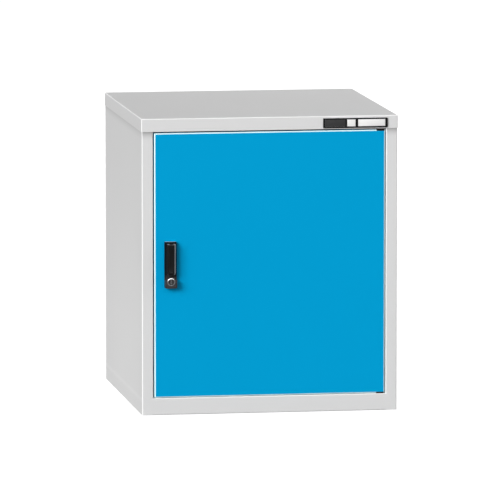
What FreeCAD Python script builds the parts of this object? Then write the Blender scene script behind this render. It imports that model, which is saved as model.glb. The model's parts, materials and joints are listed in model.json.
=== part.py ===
"""Workshop cabinet of folded sheet steel with one hinged door, a swing handle and two lock rods.

Millimetres. The origin is on the ground, in the middle of the base. +Z is up, the door faces -Y and
+X is to the right of someone who stands in front of it.
"""
import FreeCAD, Part
import math
import os
import re

import Sketcher

DRIVING_SIZES = {
    # carcass sheets
    "overall_height": 840,
    "body_width": 728,
    "body_depth": 750,
    "sheet_gauge": 1.5,
    "bend_radius": 1.5,
    "stile_width": 32,
    "stile_return": 40,
    "back_flange": 20,
    "rail_height": 48,
    "rail_return": 25,
    # base with weld nuts for feet or castors
    "runner_width": 40,
    "runner_web": 30,
    "rear_rail_return": 30,
    "anchor_inset": 22,
    "anchor_setback": 75,
    "anchor_radius": 5,
    "nut_across_flats": 17,
    "nut_height": 8,
    # top frame and cover
    "cover_gauge": 1.5,
    "cover_lip": 37,
    "top_flange": 30,
    "rear_rail_drop": 40,
    "screw_radius": 2.5,
    "screw_head_radius": 4.5,
    "screw_head_height": 2,
    "screw_head_flat": 2.7,
    "screw_head_rim": 1,
    # shelf rails, shelf and clips
    "shelf_rail_width": 30,
    "shelf_rail_depth": 12,
    "shelf_rail_setback": 50,
    "shelf_rail_headroom": 12,
    "slot_width": 6,
    "slot_height": 16,
    "slot_pitch": 50,
    "first_slot": 57,
    "shelf_slot": 6,
    "shelf_gauge": 1.5,
    "shelf_edge": 30,
    "shelf_setback": 45,
    "shelf_rear_gap": 12,
    "clip_gauge": 2.5,
    "clip_width": 20,
    "clip_ledge": 15,
    "clip_height": 28,
    "clip_hook_rise": 9,
    "clip_hook_height": 10,
    "clip_hook_reach": 5,
    "clip_play": 1,
    "shelf_play": 2,
    # door
    "door_thickness": 22,
    "door_gauge": 1.5,
    "door_bend_radius": 3,
    "door_return": 15,
    "latch_gap": 3,
    "hinge_gap": 2.2,
    "head_gap": 4,
    "sill_gap": 1,
    "stiffener_width": 70,
    "stiffener_depth": 15,
    "stiffener_flange": 14,
    "stiffener_margin": 25,
    # hinges
    "pivot_inset": 13.8,
    "pivot_depth": 10.5,
    "hinge_pin_radius": 4,
    "hinge_pin_reach": 13,
    "pin_head_radius": 7,
    "pin_head_height": 4,
    "bush_radius": 5.5,
    "bush_flange_radius": 10,
    "bush_reach": 10,
    "bush_nose_width": 22,
    "bush_nose_height": 3.5,
    "bush_nose_edge": 2,
    "hinge_plate_gauge": 3,
    "hinge_plate_length": 44,
    "running_fit": 0.05,
    "thrust_clearance": 0.1,
    # door stop and buffers
    "stop_leg": 16,
    "stop_web": 13,
    "stop_margin": 24,
    "buffer_radius": 5,
    "buffer_height": 2.5,
    "buffer_flat": 3.5,
    "buffer_rim": 1.25,
    "buffer_play": 0.2,
    "buffer_margin": 60,
    # label holder on the cover
    "label_length": 184.5,
    "label_height": 27.8,
    "label_depth": 3,
    "label_right_inset": 29.5,
    "label_drop": 6.3,
    "label_corner": 3.5,
    "label_rim": 4,
    "label_field": 64.5,
    "label_square": 24,
    "label_bar": 7,
    "label_recess": 1.4,
    "field_recess": 0.6,
    "card_gauge": 0.8,
    "card_play": 0.2,
    # handle base and gasket
    "handle_inset": 45,
    "handle_rise": 313,
    "base_width": 34,
    "base_height": 130.5,
    "base_thickness": 9,
    "base_corner": 3,
    "base_edge": 1.5,
    "gasket_gauge": 1,
    "gasket_margin": 0.5,
    "clamp_gauge": 2.5,
    "clamp_margin": 2,
    "screw_upper_drop": 49,
    "screw_lower_rise": 34,
    "screw_depth": 7,
    # spindle and lever
    "spindle_drop": 19,
    "spindle_radius": 7,
    "spindle_square": 9,
    "hole_clearance": 0.8,
    "head_width": 10,
    "pin_height": 7,
    "lever_pin_radius": 2.5,
    "knuckle_radius": 5,
    "lever_width": 25,
    "lever_thickness": 13.5,
    "lever_gap": 0.5,
    "lever_top": 14,
    "lever_edge": 4.5,
    "lever_lift": 35,
    "slot_clearance": 0.3,
    "catch_gauge": 2.7,
    "catch_gap": 2,
    # lock
    "lock_rise": 18,
    "boss_radius": 12.5,
    "shoulder_rise": 5,
    "housing_thickness": 11,
    "ring_radius": 11.5,
    "ring_height": 1.6,
    "ring_rim": 3,
    "ring_dish": 1,
    "cylinder_radius": 9,
    "plug_radius": 6,
    "plug_rear_wall": 2.2,
    "keyway_width": 1.8,
    "keyway_height": 8,
    "keyway_depth": 6,
    "tongue_gauge": 2.4,
    "tongue_width": 6,
    "tongue_hub": 8,
    "tongue_margin": 0.2,
    "tongue_gap": 2.2,
    "tongue_clearance": 0.4,
    # rod cam and lock rods
    "cam_gap": 0.5,
    "cam_gauge": 3,
    "crank_radius": 12,
    "crank_pin_radius": 3,
    "crank_lobe": 5,
    "rod_gap": 0.5,
    "rod_radius": 4,
    "rod_plate_gauge": 3,
    "rod_plate_wall": 2.5,
    "rod_plate_neck": 12,
    "rod_lap": 8,
    "rod_tip_gap": 1,
    "rod_tip_chamfer": 1.5,
    "crank_clearance": 0.5,
    "guide_radius": 6,
    "guide_room": 0.5,
    "guide_flange_height": 3,
    "keeper_gauge": 3,
    "keeper_length": 40,
    "keeper_width": 16,
    "keeper_clearance": 1,
}

DERIVED_SIZES = {
    "carcass_top": "overall_height - cover_gauge",
    "lip_bottom": "overall_height - cover_lip",
    "side_outer": "body_width / 2",
    "side_inner": "side_outer - sheet_gauge",
    "front_face": "-body_depth / 2",
    "rear_face": "body_depth / 2",
    "back_outer": "rear_face - sheet_gauge",
    "back_inner": "back_outer - sheet_gauge",
    "back_half": "side_inner - bend_radius",
    "bend_outer": "bend_radius + sheet_gauge",
    "opening": "side_outer - stile_width",
    "rail_end": "opening + bend_outer",
    "floor_under": "rail_height - sheet_gauge",
    "anchor_x": "side_outer - anchor_inset",
    "anchor_y": "rear_face - anchor_setback",
    "runner_front": "front_face + rail_return",
    "runner_rear": "back_inner - rear_rail_return",
    "cover_side": "side_outer + cover_gauge",
    "cover_front": "front_face - cover_gauge",
    "cover_rear": "rear_face + cover_gauge",
    "cover_screw_x": "side_outer - back_flange / 2",
    "cover_screw_z": "overall_height - cover_lip / 2",
    "shelf_rail_face": "side_inner - shelf_rail_depth",
    "shelf_rail_front": "front_face + shelf_rail_setback",
    "shelf_rail_rear": "back_inner - shelf_rail_setback - shelf_rail_width",
    "shelf_rail_top": "lip_bottom - shelf_rail_headroom",
    "shelf_slot_z": "rail_height + first_slot + shelf_slot * slot_pitch",
    "clip_hook_bottom": "shelf_slot_z - slot_height / 2",
    "clip_ledge_top": "clip_hook_bottom - clip_hook_rise",
    "shelf_bottom": "clip_ledge_top",
    "shelf_top": "shelf_bottom + shelf_edge",
    "shelf_side": "shelf_rail_face - clip_gauge - shelf_play",
    "door_left": "-(opening - latch_gap)",
    "door_right": "opening - hinge_gap",
    "door_bottom": "rail_height + sill_gap",
    "door_top": "lip_bottom - head_gap",
    "door_back": "front_face + door_thickness",
    "skin_back": "front_face + door_gauge",
    "door_middle": "(door_left + door_right) / 2",
    "pivot_x": "door_right - pivot_inset",
    "pivot_y": "front_face + pivot_depth",
    "nose_left": "pivot_x - bush_nose_width / 2",
    "nose_right": "pivot_x + bush_nose_width / 2",
    "bush_bore": "hinge_pin_radius + running_fit",
    "stop_face": "door_back + buffer_play + buffer_height",
    "buffer_x": "door_left + door_return / 2",
    "label_right": "cover_side - label_right_inset",
    "label_left": "label_right - label_length",
    "label_top": "overall_height - label_drop",
    "label_bottom": "label_top - label_height",
    "field_left": "label_left + label_rim",
    "field_right": "field_left + label_field",
    "square_left": "field_right",
    "square_right": "square_left + label_square",
    "card_left": "square_right + label_bar",
    "card_right": "label_right - label_bar",
    "label_floor": "cover_front - label_depth + label_recess",
    "bend_end": "skin_back + door_bend_radius",
    "handle_x": "door_left + handle_inset",
    "base_bottom": "door_bottom + handle_rise",
    "base_top": "base_bottom + base_height",
    "base_half": "base_width / 2",
    "upper_screw_z": "base_top - screw_upper_drop",
    "lower_screw_z": "base_bottom + screw_lower_rise",
    "gasket_front": "front_face - gasket_gauge",
    "base_front": "gasket_front - base_thickness",
    "housing_front": "base_front - housing_thickness",
    "spindle_z": "base_top - spindle_drop",
    "spindle_bore": "spindle_radius + running_fit",
    "spindle_hole": "spindle_radius + hole_clearance",
    "lock_z": "base_bottom + lock_rise",
    "lever_back": "base_front - lever_gap",
    "lever_front": "lever_back - lever_thickness",
    "lever_pin_y": "base_front - pin_height",
    "lever_half": "lever_width / 2",
    "barrel_radius": "pin_height - lever_gap",
    "lever_end": "lock_z + tongue_reach + tongue_gap",
    "catch_end": "lock_z + boss_radius + catch_gap",
    "catch_front": "lever_back - catch_gauge",
    "tongue_reach": "base_half - tongue_margin",
    "tongue_back": "catch_front - tongue_clearance",
    "tongue_front": "tongue_back - tongue_gauge",
    "tongue_slot_back": "tongue_back + tongue_clearance",
    "tongue_slot_front": "tongue_front - tongue_clearance",
    "plug_bore": "plug_radius + running_fit",
    "plug_rear": "gasket_front - plug_rear_wall",
    "ring_front": "housing_front - ring_height",
    "clamp_back": "skin_back + clamp_gauge",
    "cam_front": "clamp_back + cam_gap",
    "cam_back": "cam_front + cam_gauge",
    "cam_screw_back": "cam_back + screw_head_height",
    "rod_plate_front": "cam_screw_back + rod_gap",
    "rod_plate_back": "rod_plate_front + rod_plate_gauge",
    "rod_y": "rod_plate_front + rod_plate_gauge / 2",
    # the cranks rest at 45 degrees, which is half of the handle's quarter turn
    "diagonal": "sqrt(1 / 2)",
    "crank_rest": "crank_radius * diagonal",
    "rod_offset": "(crank_radius + crank_rest) / 2",
    "crank_slot_half": "(crank_radius - crank_rest) / 2 + crank_pin_radius + slot_clearance",
    "crank_slot_rise": "crank_pin_radius + crank_clearance",
    "rod_plate_half": "crank_slot_half + rod_plate_wall",
    "guide_bore": "rod_radius + running_fit",
    "guide_flange_radius": "rod_y - bend_end - guide_room",
    "keeper_hole": "rod_radius + keeper_clearance",
}

# For each of a body's planes: which axes its sketches run along, and the axis that its pads follow.
PLANE_AXES = {"XY_Plane": (0, 1, 2), "XZ_Plane": (0, 2, 1), "YZ_Plane": (1, 2, 0)}
# A sketch on the XZ plane looks along -Y, so its level counts backwards.
PLANE_LEVEL_SIGN = {"XY_Plane": "", "XZ_Plane": "-", "YZ_Plane": ""}
PLACE_TOLERANCE = 0.01
HEXAGON_SIDES = 6

document = FreeCAD.newDocument("workshop_cabinet")
sheet = document.addObject("Spreadsheet::Sheet", "sizes")
nodes = []


def fill_sheet():
    """Write every driving size into the sheet, one row each, under its own alias."""
    for row, (name, number) in enumerate(DRIVING_SIZES.items(), start=1):
        sheet.set(f"A{row}", name)
        sheet.set(f"B{row}", str(number))
        sheet.setAlias(f"B{row}", name)
    document.recompute()


def expand(formula):
    """Spell a formula out in cells of the sheet, with derived sizes worked out on the way."""
    def spell(match):
        word = match.group(0)
        if word in DERIVED_SIZES:
            return f"({expand(DERIVED_SIZES[word])})"
        return f"sizes.{word}" if word in DRIVING_SIZES else word
    return re.sub(r"[a-z][a-z_]*", spell, str(formula))


def value(formula):
    """The number that a formula gives with the sheet as it is."""
    return float(sheet.evalExpression(expand(formula)))


def bind(thing, place, formula):
    """Tie one property of an object to the sheet."""
    thing.setExpression(place, expand(formula))


def keep(thing, name):
    """Name a finished sub-part and put it on the list of those that are written out."""
    thing.Label = name
    nodes.append(thing)
    return thing


def new_body(name):
    """An empty body for one sub-part."""
    return document.addObject("PartDesign::Body", name)


def new_sketch(body, plane, level, across="0", along="0"):
    """A sketch on one of the body's planes, at a level in the cabinet's own frame."""
    sketch = body.newObject("Sketcher::SketchObject", f"{body.Name}_sketch")
    origin = next(item for item in body.Origin.OriginFeatures if item.Role == plane)
    sketch.AttachmentSupport = (origin, "")
    sketch.MapMode = "FlatFace"
    bind(sketch, "AttachmentOffset.Base.x", across)
    bind(sketch, "AttachmentOffset.Base.y", along)
    bind(sketch, "AttachmentOffset.Base.z", f"{PLANE_LEVEL_SIGN[plane]}({level})")
    return sketch


def place_point(sketch, geometry, point, place):
    """Tie one point of a sketch to a pair of formulas, counted from the sketch's origin."""
    for kind, formula in zip(("DistanceX", "DistanceY"), place):
        index = sketch.addConstraint(Sketcher.Constraint(kind, -1, 1, geometry, point, value(formula)))
        bind(sketch, f"Constraints[{index}]", formula)


def draw_outline(sketch, corners):
    """Draw a closed outline of straight sides through the corners."""
    first = sketch.GeometryCount
    count = len(corners)
    spots = [FreeCAD.Vector(value(u), value(v), 0) for u, v in corners]
    for index in range(count):
        sketch.addGeometry(Part.LineSegment(spots[index], spots[(index + 1) % count]), False)
    for index in range(count):
        following = first + (index + 1) % count
        sketch.addConstraint(Sketcher.Constraint("Coincident", first + index, 2, following, 1))
    for index, corner in enumerate(corners):
        place_point(sketch, first + index, 1, corner)


def draw_circle(sketch, centre, radius):
    """Draw a circle about a centre."""
    index = sketch.GeometryCount
    spot = FreeCAD.Vector(value(centre[0]), value(centre[1]), 0)
    sketch.addGeometry(Part.Circle(spot, FreeCAD.Vector(0, 0, 1), value(radius)), False)
    place_point(sketch, index, 3, centre)
    size = sketch.addConstraint(Sketcher.Constraint("Radius", index, value(radius)))
    bind(sketch, f"Constraints[{size}]", radius)


def rectangle(low_u, high_u, low_v, high_v):
    """The corners of an upright rectangle."""
    return [(low_u, low_v), (high_u, low_v), (high_u, high_v), (low_u, high_v)]


def extrude(body, kind, sketch, length):
    """Pad or pocket a sketch along its plane's normal, and see that it changed the body."""
    before = body.Shape.Volume if body.Tip else 0.0
    feature = body.newObject(f"PartDesign::{kind}", f"{body.Name}_{kind.lower()}")
    feature.Profile = sketch
    feature.Reversed = kind == "Pocket"
    bind(feature, "Length", length)
    document.recompute()
    change = body.Shape.Volume - before
    if change * (-1 if kind == "Pocket" else 1) <= 0:
        raise ValueError(f"{feature.Name} changed the volume of {body.Label} by {change:.3f}")
    return feature


def pad(body, plane, level, length, corners):
    """Add a straight-sided block to a body, from a level along the plane's normal."""
    sketch = new_sketch(body, plane, level)
    draw_outline(sketch, corners)
    return extrude(body, "Pad", sketch, length)


def pad_rounds(body, plane, level, length, circles):
    """Add round bars to a body, each circle given as its centre and radius."""
    sketch = new_sketch(body, plane, level)
    for centre, radius in circles:
        draw_circle(sketch, centre, radius)
    return extrude(body, "Pad", sketch, length)


def cut(body, plane, level, length, corners):
    """Cut a straight-sided pocket, from a level along the plane's normal."""
    sketch = new_sketch(body, plane, level)
    draw_outline(sketch, corners)
    return extrude(body, "Pocket", sketch, length)


def drill(body, plane, level, length, circles):
    """Cut round holes, each given as its centre and radius."""
    sketch = new_sketch(body, plane, level)
    for centre, radius in circles:
        draw_circle(sketch, centre, radius)
    return extrude(body, "Pocket", sketch, length)


def dress(body, kind, size_name, size, chosen):
    """Round or bevel the edges that a test picks out."""
    base = body.Tip
    edges = [f"Edge{number}" for number, edge in enumerate(base.Shape.Edges, start=1) if chosen(edge)]
    if not edges:
        raise ValueError(f"no edge of {body.Label} to dress")
    feature = body.newObject(f"PartDesign::{kind}", f"{body.Name}_{kind.lower()}")
    feature.Base = (base, edges)
    bind(feature, size_name, size)
    document.recompute()
    return feature


def round_over(body, radius, chosen):
    """Fillet the chosen edges."""
    return dress(body, "Fillet", "Radius", radius, chosen)


def bevel(body, size, chosen):
    """Chamfer the chosen edges."""
    return dress(body, "Chamfer", "Size", size, chosen)


def near(one, other):
    """Whether two coordinates are the same place."""
    return abs(one - other) < PLACE_TOLERANCE


def lies_at(edge, **places):
    """Whether a whole edge lies at the given coordinates, such as x=3 for the plane x = 3."""
    axes = {"x": 0, "y": 1, "z": 2}
    return all(near(vertex.Point[axes[axis]], place)
               for axis, place in places.items() for vertex in edge.Vertexes)


def is_along(edge, axis):
    """Whether an edge is straight and runs along an axis."""
    if len(edge.Vertexes) < 2 or not isinstance(edge.Curve, (Part.Line, Part.LineSegment)):
        return False
    run = edge.Vertexes[1].Point - edge.Vertexes[0].Point
    return near(run.Length, abs(run[{"x": 0, "y": 1, "z": 2}[axis]]))


def folded_faces(path, side, gauge):
    """The far face of a folded sheet, and which corners of its two faces are outside a bend.

    The path is the sheet's near face, made of runs along the axes. The sheet lies to the left of the
    path where side is 1, and to its right where side is -1.
    """
    spots = [(value(u), value(v)) for u, v in path]
    runs = []
    for (u, v), (next_u, next_v) in zip(spots, spots[1:]):
        length = math.hypot(next_u - u, next_v - v)
        runs.append((round((next_u - u) / length), round((next_v - v) / length)))
    normals = [(-side * v, side * u) for u, v in runs]
    far = []
    outside = []
    inside = []
    for index, (u, v) in enumerate(path):
        beside = normals[max(index - 1, 0):index + 1]
        shift_u = sum(normal[0] for normal in beside)
        shift_v = sum(normal[1] for normal in beside)
        far.append((f"({u}) + ({shift_u}) * {gauge}", f"({v}) + ({shift_v}) * {gauge}"))
        if len(beside) == 2:
            turn = runs[index - 1][0] * runs[index][1] - runs[index - 1][1] * runs[index][0]
            near_is_outside = turn * side > 0
            outside.append(path[index] if near_is_outside else far[index])
            inside.append(far[index] if near_is_outside else path[index])
    return far, outside, inside


def fold(name, plane, level, length, path, side, gauge="sheet_gauge"):
    """A sheet folded along a path of flats, with its bends rounded inside and out."""
    body = new_body(name)
    far, outside, inside = folded_faces(path, side, gauge)
    pad(body, plane, level, length, path + far[::-1])
    axes = PLANE_AXES[plane]
    names = ("x", "y", "z")

    def bends(corners):
        places = [{names[axes[0]]: value(u), names[axes[1]]: value(v)} for u, v in corners]
        return lambda edge: any(lies_at(edge, **place) for place in places)

    round_over(body, f"bend_radius + {gauge}", bends(outside))
    round_over(body, "bend_radius", bends(inside))
    return body


def turn(name, plane, across, along, level, profile):
    """A turned piece, from half of its outline as (radius, distance along its axis) pairs.

    The axis runs up on the XZ plane and back along +Y on the XY plane.
    """
    body = new_body(name)
    sketch = new_sketch(body, plane, level, across, along)
    draw_outline(sketch, profile)
    feature = body.newObject("PartDesign::Revolution", f"{name}_turning")
    feature.Profile = sketch
    feature.ReferenceAxis = (sketch, ["V_Axis"])
    feature.Angle = 360
    document.recompute()
    return body


def turn_upright(name, x, y, profile):
    """A turned piece on an upright axis, with its profile's heights above the ground."""
    return turn(name, "XZ_Plane", x, "0", y, profile)


def turn_facing(name, x, z, profile):
    """A turned piece on a front-to-back axis, with its profile's depths in the cabinet's frame."""
    return turn(name, "XY_Plane", x, "0", z, profile)


def group(name, bodies):
    """One node of several separate solids."""
    compound = document.addObject("Part::Compound", name)
    compound.Links = bodies
    document.recompute()
    return keep(compound, name)


def make_side_panels():
    """Side walls, each folded into a front stile with its return and a flange at the back."""
    for name, hand, side in (("left_side_panel", "-1", -1), ("right_side_panel", "1", 1)):
        path = [
            (f"{hand} * opening", "front_face + stile_return"),
            (f"{hand} * opening", "front_face"),
            (f"{hand} * side_outer", "front_face"),
            (f"{hand} * side_outer", "rear_face"),
            (f"{hand} * (side_outer - back_flange)", "rear_face"),
        ]
        panel = fold(name, "XY_Plane", "0", "carcass_top", path, side)
        # below the sill the stile ends in a plain edge, where the front rail is butted and welded on
        notch = rectangle(f"{hand} * rail_end", f"{hand} * (opening - sheet_gauge)",
                          "front_face - sheet_gauge", "front_face + stile_return + sheet_gauge")
        cut(panel, "XY_Plane", "0", "rail_height", notch)
        screw_hole = [((f"{hand} * cover_screw_x", "cover_screw_z"), "screw_radius")]
        drill(panel, "XZ_Plane", "rear_face", "sheet_gauge", screw_hole)
        keep(panel, name)


def make_back_panel():
    """Flat back, laid against the flanges of the side walls."""
    panel = new_body("back_panel")
    pad(panel, "XZ_Plane", "back_outer", "sheet_gauge",
        rectangle("-back_half", "back_half", "0", "carcass_top"))
    keep(panel, "back_panel")


def make_floor_pan():
    """Floor with the front rail folded down from it and turned back along the ground."""
    pan = new_body("floor_pan")
    behind_stiles = "front_face + bend_outer"
    floor = [
        ("-rail_end", "front_face"), ("rail_end", "front_face"),
        ("rail_end", behind_stiles), ("side_inner", behind_stiles),
        ("side_inner", "back_inner"), ("-side_inner", "back_inner"),
        ("-side_inner", behind_stiles), ("-rail_end", behind_stiles),
    ]
    pad(pan, "XY_Plane", "floor_under", "sheet_gauge", floor)
    pad(pan, "XZ_Plane", "front_face + sheet_gauge", "sheet_gauge",
        rectangle("-rail_end", "rail_end", "0", "rail_height"))
    pad(pan, "XY_Plane", "0", "sheet_gauge",
        rectangle("-rail_end", "rail_end", "front_face", "runner_front"))
    front = value("front_face")
    levels = (0, value("rail_height"))
    round_over(pan, "bend_outer", lambda edge: is_along(edge, "x") and any(
        lies_at(edge, y=front, z=level) for level in levels))
    drill(pan, "XY_Plane", "floor_under", "sheet_gauge", [
        (("pivot_x", "pivot_y"), "hinge_pin_radius"),
        (("handle_x + rod_offset", "rod_y"), "keeper_hole"),
    ])
    keep(pan, "floor_pan")


def make_base():
    """Rails and runners under the floor, with weld nuts over the holes for feet or castors."""
    rear_path = [
        ("back_inner", "floor_under"), ("back_inner", "0"), ("back_inner - rear_rail_return", "0"),
    ]
    rail = fold("rear_base_rail", "YZ_Plane", "-side_inner", "2 * side_inner", rear_path, -1)
    keep(rail, "rear_base_rail")
    nuts = []
    for name, hand, side in (("left_base_runner", "-1", 1), ("right_base_runner", "1", -1)):
        path = [
            (f"{hand} * side_inner", "runner_web"),
            (f"{hand} * side_inner", "0"),
            (f"{hand} * (side_inner - runner_width)", "0"),
        ]
        runner = fold(name, "XZ_Plane", "runner_rear", "runner_rear - runner_front", path, side)
        spots = [(f"{hand} * anchor_x", f"{end} * anchor_y") for end in ("-1", "1")]
        drill(runner, "XY_Plane", "0", "sheet_gauge", [(spot, "anchor_radius") for spot in spots])
        keep(runner, name)
        nuts += [make_nut(f"{name}_nut_{number}", spot) for number, spot in enumerate(spots)]
    group("base_nuts", nuts)


def make_nut(name, spot):
    """One hexagon weld nut on a runner, two of its flats towards the sides."""
    nut = new_body(name)
    x, y = spot
    corner_radius = "nut_across_flats / sqrt(3)"
    corners = []
    for step in range(HEXAGON_SIDES):
        angle = f"{(step + 0.5) * 360 / HEXAGON_SIDES}deg"
        corners.append((f"{x} + {corner_radius} * cos({angle})", f"{y} + {corner_radius} * sin({angle})"))
    pad(nut, "XY_Plane", "sheet_gauge", "nut_height", corners)
    drill(nut, "XY_Plane", "sheet_gauge", "nut_height", [(spot, "anchor_radius")])
    return nut


def make_top_rails():
    """Channels that tie the side walls together under the cover, at the front and at the back."""
    head_path = [
        ("front_face + top_flange", "carcass_top"), ("front_face", "carcass_top"),
        ("front_face", "lip_bottom"), ("front_face + top_flange", "lip_bottom"),
    ]
    head = fold("head_rail", "YZ_Plane", "-opening", "2 * opening", head_path, 1)
    drill(head, "XY_Plane", "lip_bottom", "sheet_gauge", [
        (("pivot_x", "pivot_y"), "hinge_pin_radius"),
        (("handle_x - rod_offset", "rod_y"), "keeper_hole"),
    ])
    keep(head, "head_rail")
    rear_path = [
        ("back_inner - top_flange", "carcass_top"), ("back_inner", "carcass_top"),
        ("back_inner", "carcass_top - rear_rail_drop"),
    ]
    rear = fold("rear_top_rail", "YZ_Plane", "-side_inner", "2 * side_inner", rear_path, -1)
    keep(rear, "rear_top_rail")


def make_cover():
    """Folded cap over the carcass, held by a screw through its rear lip at each side."""
    cover = new_body("top_cover")
    pad(cover, "XY_Plane", "lip_bottom", "cover_lip",
        rectangle("-cover_side", "cover_side", "cover_front", "cover_rear"))
    sides = (-value("cover_side"), value("cover_side"))
    ends = (value("cover_front"), value("cover_rear"))
    top = value("overall_height")
    round_over(cover, "bend_radius + cover_gauge", lambda edge: (
        any(lies_at(edge, x=side, z=top) for side in sides)
        or any(lies_at(edge, y=end, z=top) for end in ends)
        or any(lies_at(edge, x=side, y=end) for side in sides for end in ends)))
    cut(cover, "XY_Plane", "lip_bottom", "cover_lip - cover_gauge",
        rectangle("-side_outer", "side_outer", "front_face", "rear_face"))
    spots = [(f"{hand} * cover_screw_x", "cover_screw_z") for hand in ("-1", "1")]
    drill(cover, "XZ_Plane", "cover_rear", "cover_gauge", [(spot, "screw_radius") for spot in spots])
    keep(cover, "top_cover")
    screws = [make_screw(f"cover_screw_{number}", spot, "cover_rear", "-1", "cover_gauge + sheet_gauge")
              for number, spot in enumerate(spots)]
    group("cover_screws", screws)


def make_screw(name, spot, seat, inward, depth):
    """One button-head screw on a front-to-back axis, its head on the seat and its shank going inward."""
    head_end = f"{seat} - ({inward}) * screw_head_height"
    shoulder = f"{seat} - ({inward}) * screw_head_rim"
    tip = f"{seat} + ({inward}) * ({depth})"
    profile = [
        ("0", head_end), ("screw_head_flat", head_end), ("screw_head_radius", shoulder),
        ("screw_head_radius", seat), ("screw_radius", seat), ("screw_radius", tip), ("0", tip),
    ]
    return turn_facing(name, spot[0], spot[1], profile)


def make_shelf_rails():
    """Four upright channels on the side walls, each with a row of slots for the shelf clips."""
    slots = int(value("(shelf_rail_top - rail_height - first_slot - slot_height) / slot_pitch")) + 1
    for end, front in (("front", "shelf_rail_front"), ("rear", "shelf_rail_rear")):
        for word, hand, side in (("left", "-1", 1), ("right", "1", -1)):
            name = f"{end}_{word}_shelf_rail"
            back = f"{front} + shelf_rail_width"
            path = [
                (f"{hand} * side_inner", front), (f"{hand} * shelf_rail_face", front),
                (f"{hand} * shelf_rail_face", back), (f"{hand} * side_inner", back),
            ]
            rail = fold(name, "XY_Plane", "rail_height", "shelf_rail_top - rail_height", path, side)
            middle = f"{front} + shelf_rail_width / 2"
            height = "rail_height + first_slot"
            slot = rectangle(f"{middle} - slot_width / 2", f"{middle} + slot_width / 2",
                             f"{height} - slot_height / 2", f"{height} + slot_height / 2")
            inner = "-shelf_rail_face - sheet_gauge" if hand == "-1" else "shelf_rail_face"
            pocket = cut(rail, "YZ_Plane", inner, "sheet_gauge", slot)
            row = rail.newObject("PartDesign::LinearPattern", f"{name}_row")
            row.Originals = [pocket]
            upright = next(item for item in rail.Origin.OriginFeatures if item.Role == "Z_Axis")
            row.Direction = (upright, [""])
            row.Occurrences = slots
            bind(row, "Length", f"slot_pitch * {slots - 1}")
            rail.Tip = row
            document.recompute()
            keep(rail, name)


def make_shelf():
    """Shelf with its four edges folded down, and the clips that carry it on the rails."""
    shelf = new_body("shelf")
    low = "front_face + shelf_setback"
    high = "back_inner - shelf_rear_gap"
    pad(shelf, "XY_Plane", "shelf_bottom", "shelf_edge", rectangle("-shelf_side", "shelf_side", low, high))
    top = value("shelf_top")
    round_over(shelf, "bend_radius + shelf_gauge", lambda edge: lies_at(edge, z=top))
    cut(shelf, "XY_Plane", "shelf_bottom", "shelf_edge - shelf_gauge",
        rectangle("-shelf_side + shelf_gauge", "shelf_side - shelf_gauge",
                  f"{low} + shelf_gauge", f"{high} - shelf_gauge"))
    keep(shelf, "shelf")
    clips = []
    for front in ("shelf_rail_front", "shelf_rail_rear"):
        for hand, side in (("-1", 1), ("1", -1)):
            clips.append(make_clip(f"shelf_clip_{len(clips)}", front, hand, side))
    group("shelf_clips", clips)


def make_clip(name, front, hand, side):
    """One angle clip, hooked into a slot of its rail, with the shelf's folded edge on its ledge."""
    middle = f"{front} + shelf_rail_width / 2"
    path = [
        (f"{hand} * shelf_rail_face", "clip_ledge_top + clip_height"),
        (f"{hand} * shelf_rail_face", "clip_ledge_top - clip_gauge"),
        (f"{hand} * (shelf_rail_face - clip_ledge)", "clip_ledge_top - clip_gauge"),
    ]
    clip = fold(name, "XZ_Plane", f"{middle} + clip_width / 2", "clip_width", path, side, "clip_gauge")
    half = "(slot_width - clip_play) / 2"
    hook = rectangle(f"{middle} - {half}", f"{middle} + {half}",
                     "clip_hook_bottom", "clip_hook_bottom + clip_hook_height")
    inner = "-shelf_rail_face - clip_hook_reach" if hand == "-1" else "shelf_rail_face"
    pad(clip, "YZ_Plane", inner, "clip_hook_reach", hook)
    return clip


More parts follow.
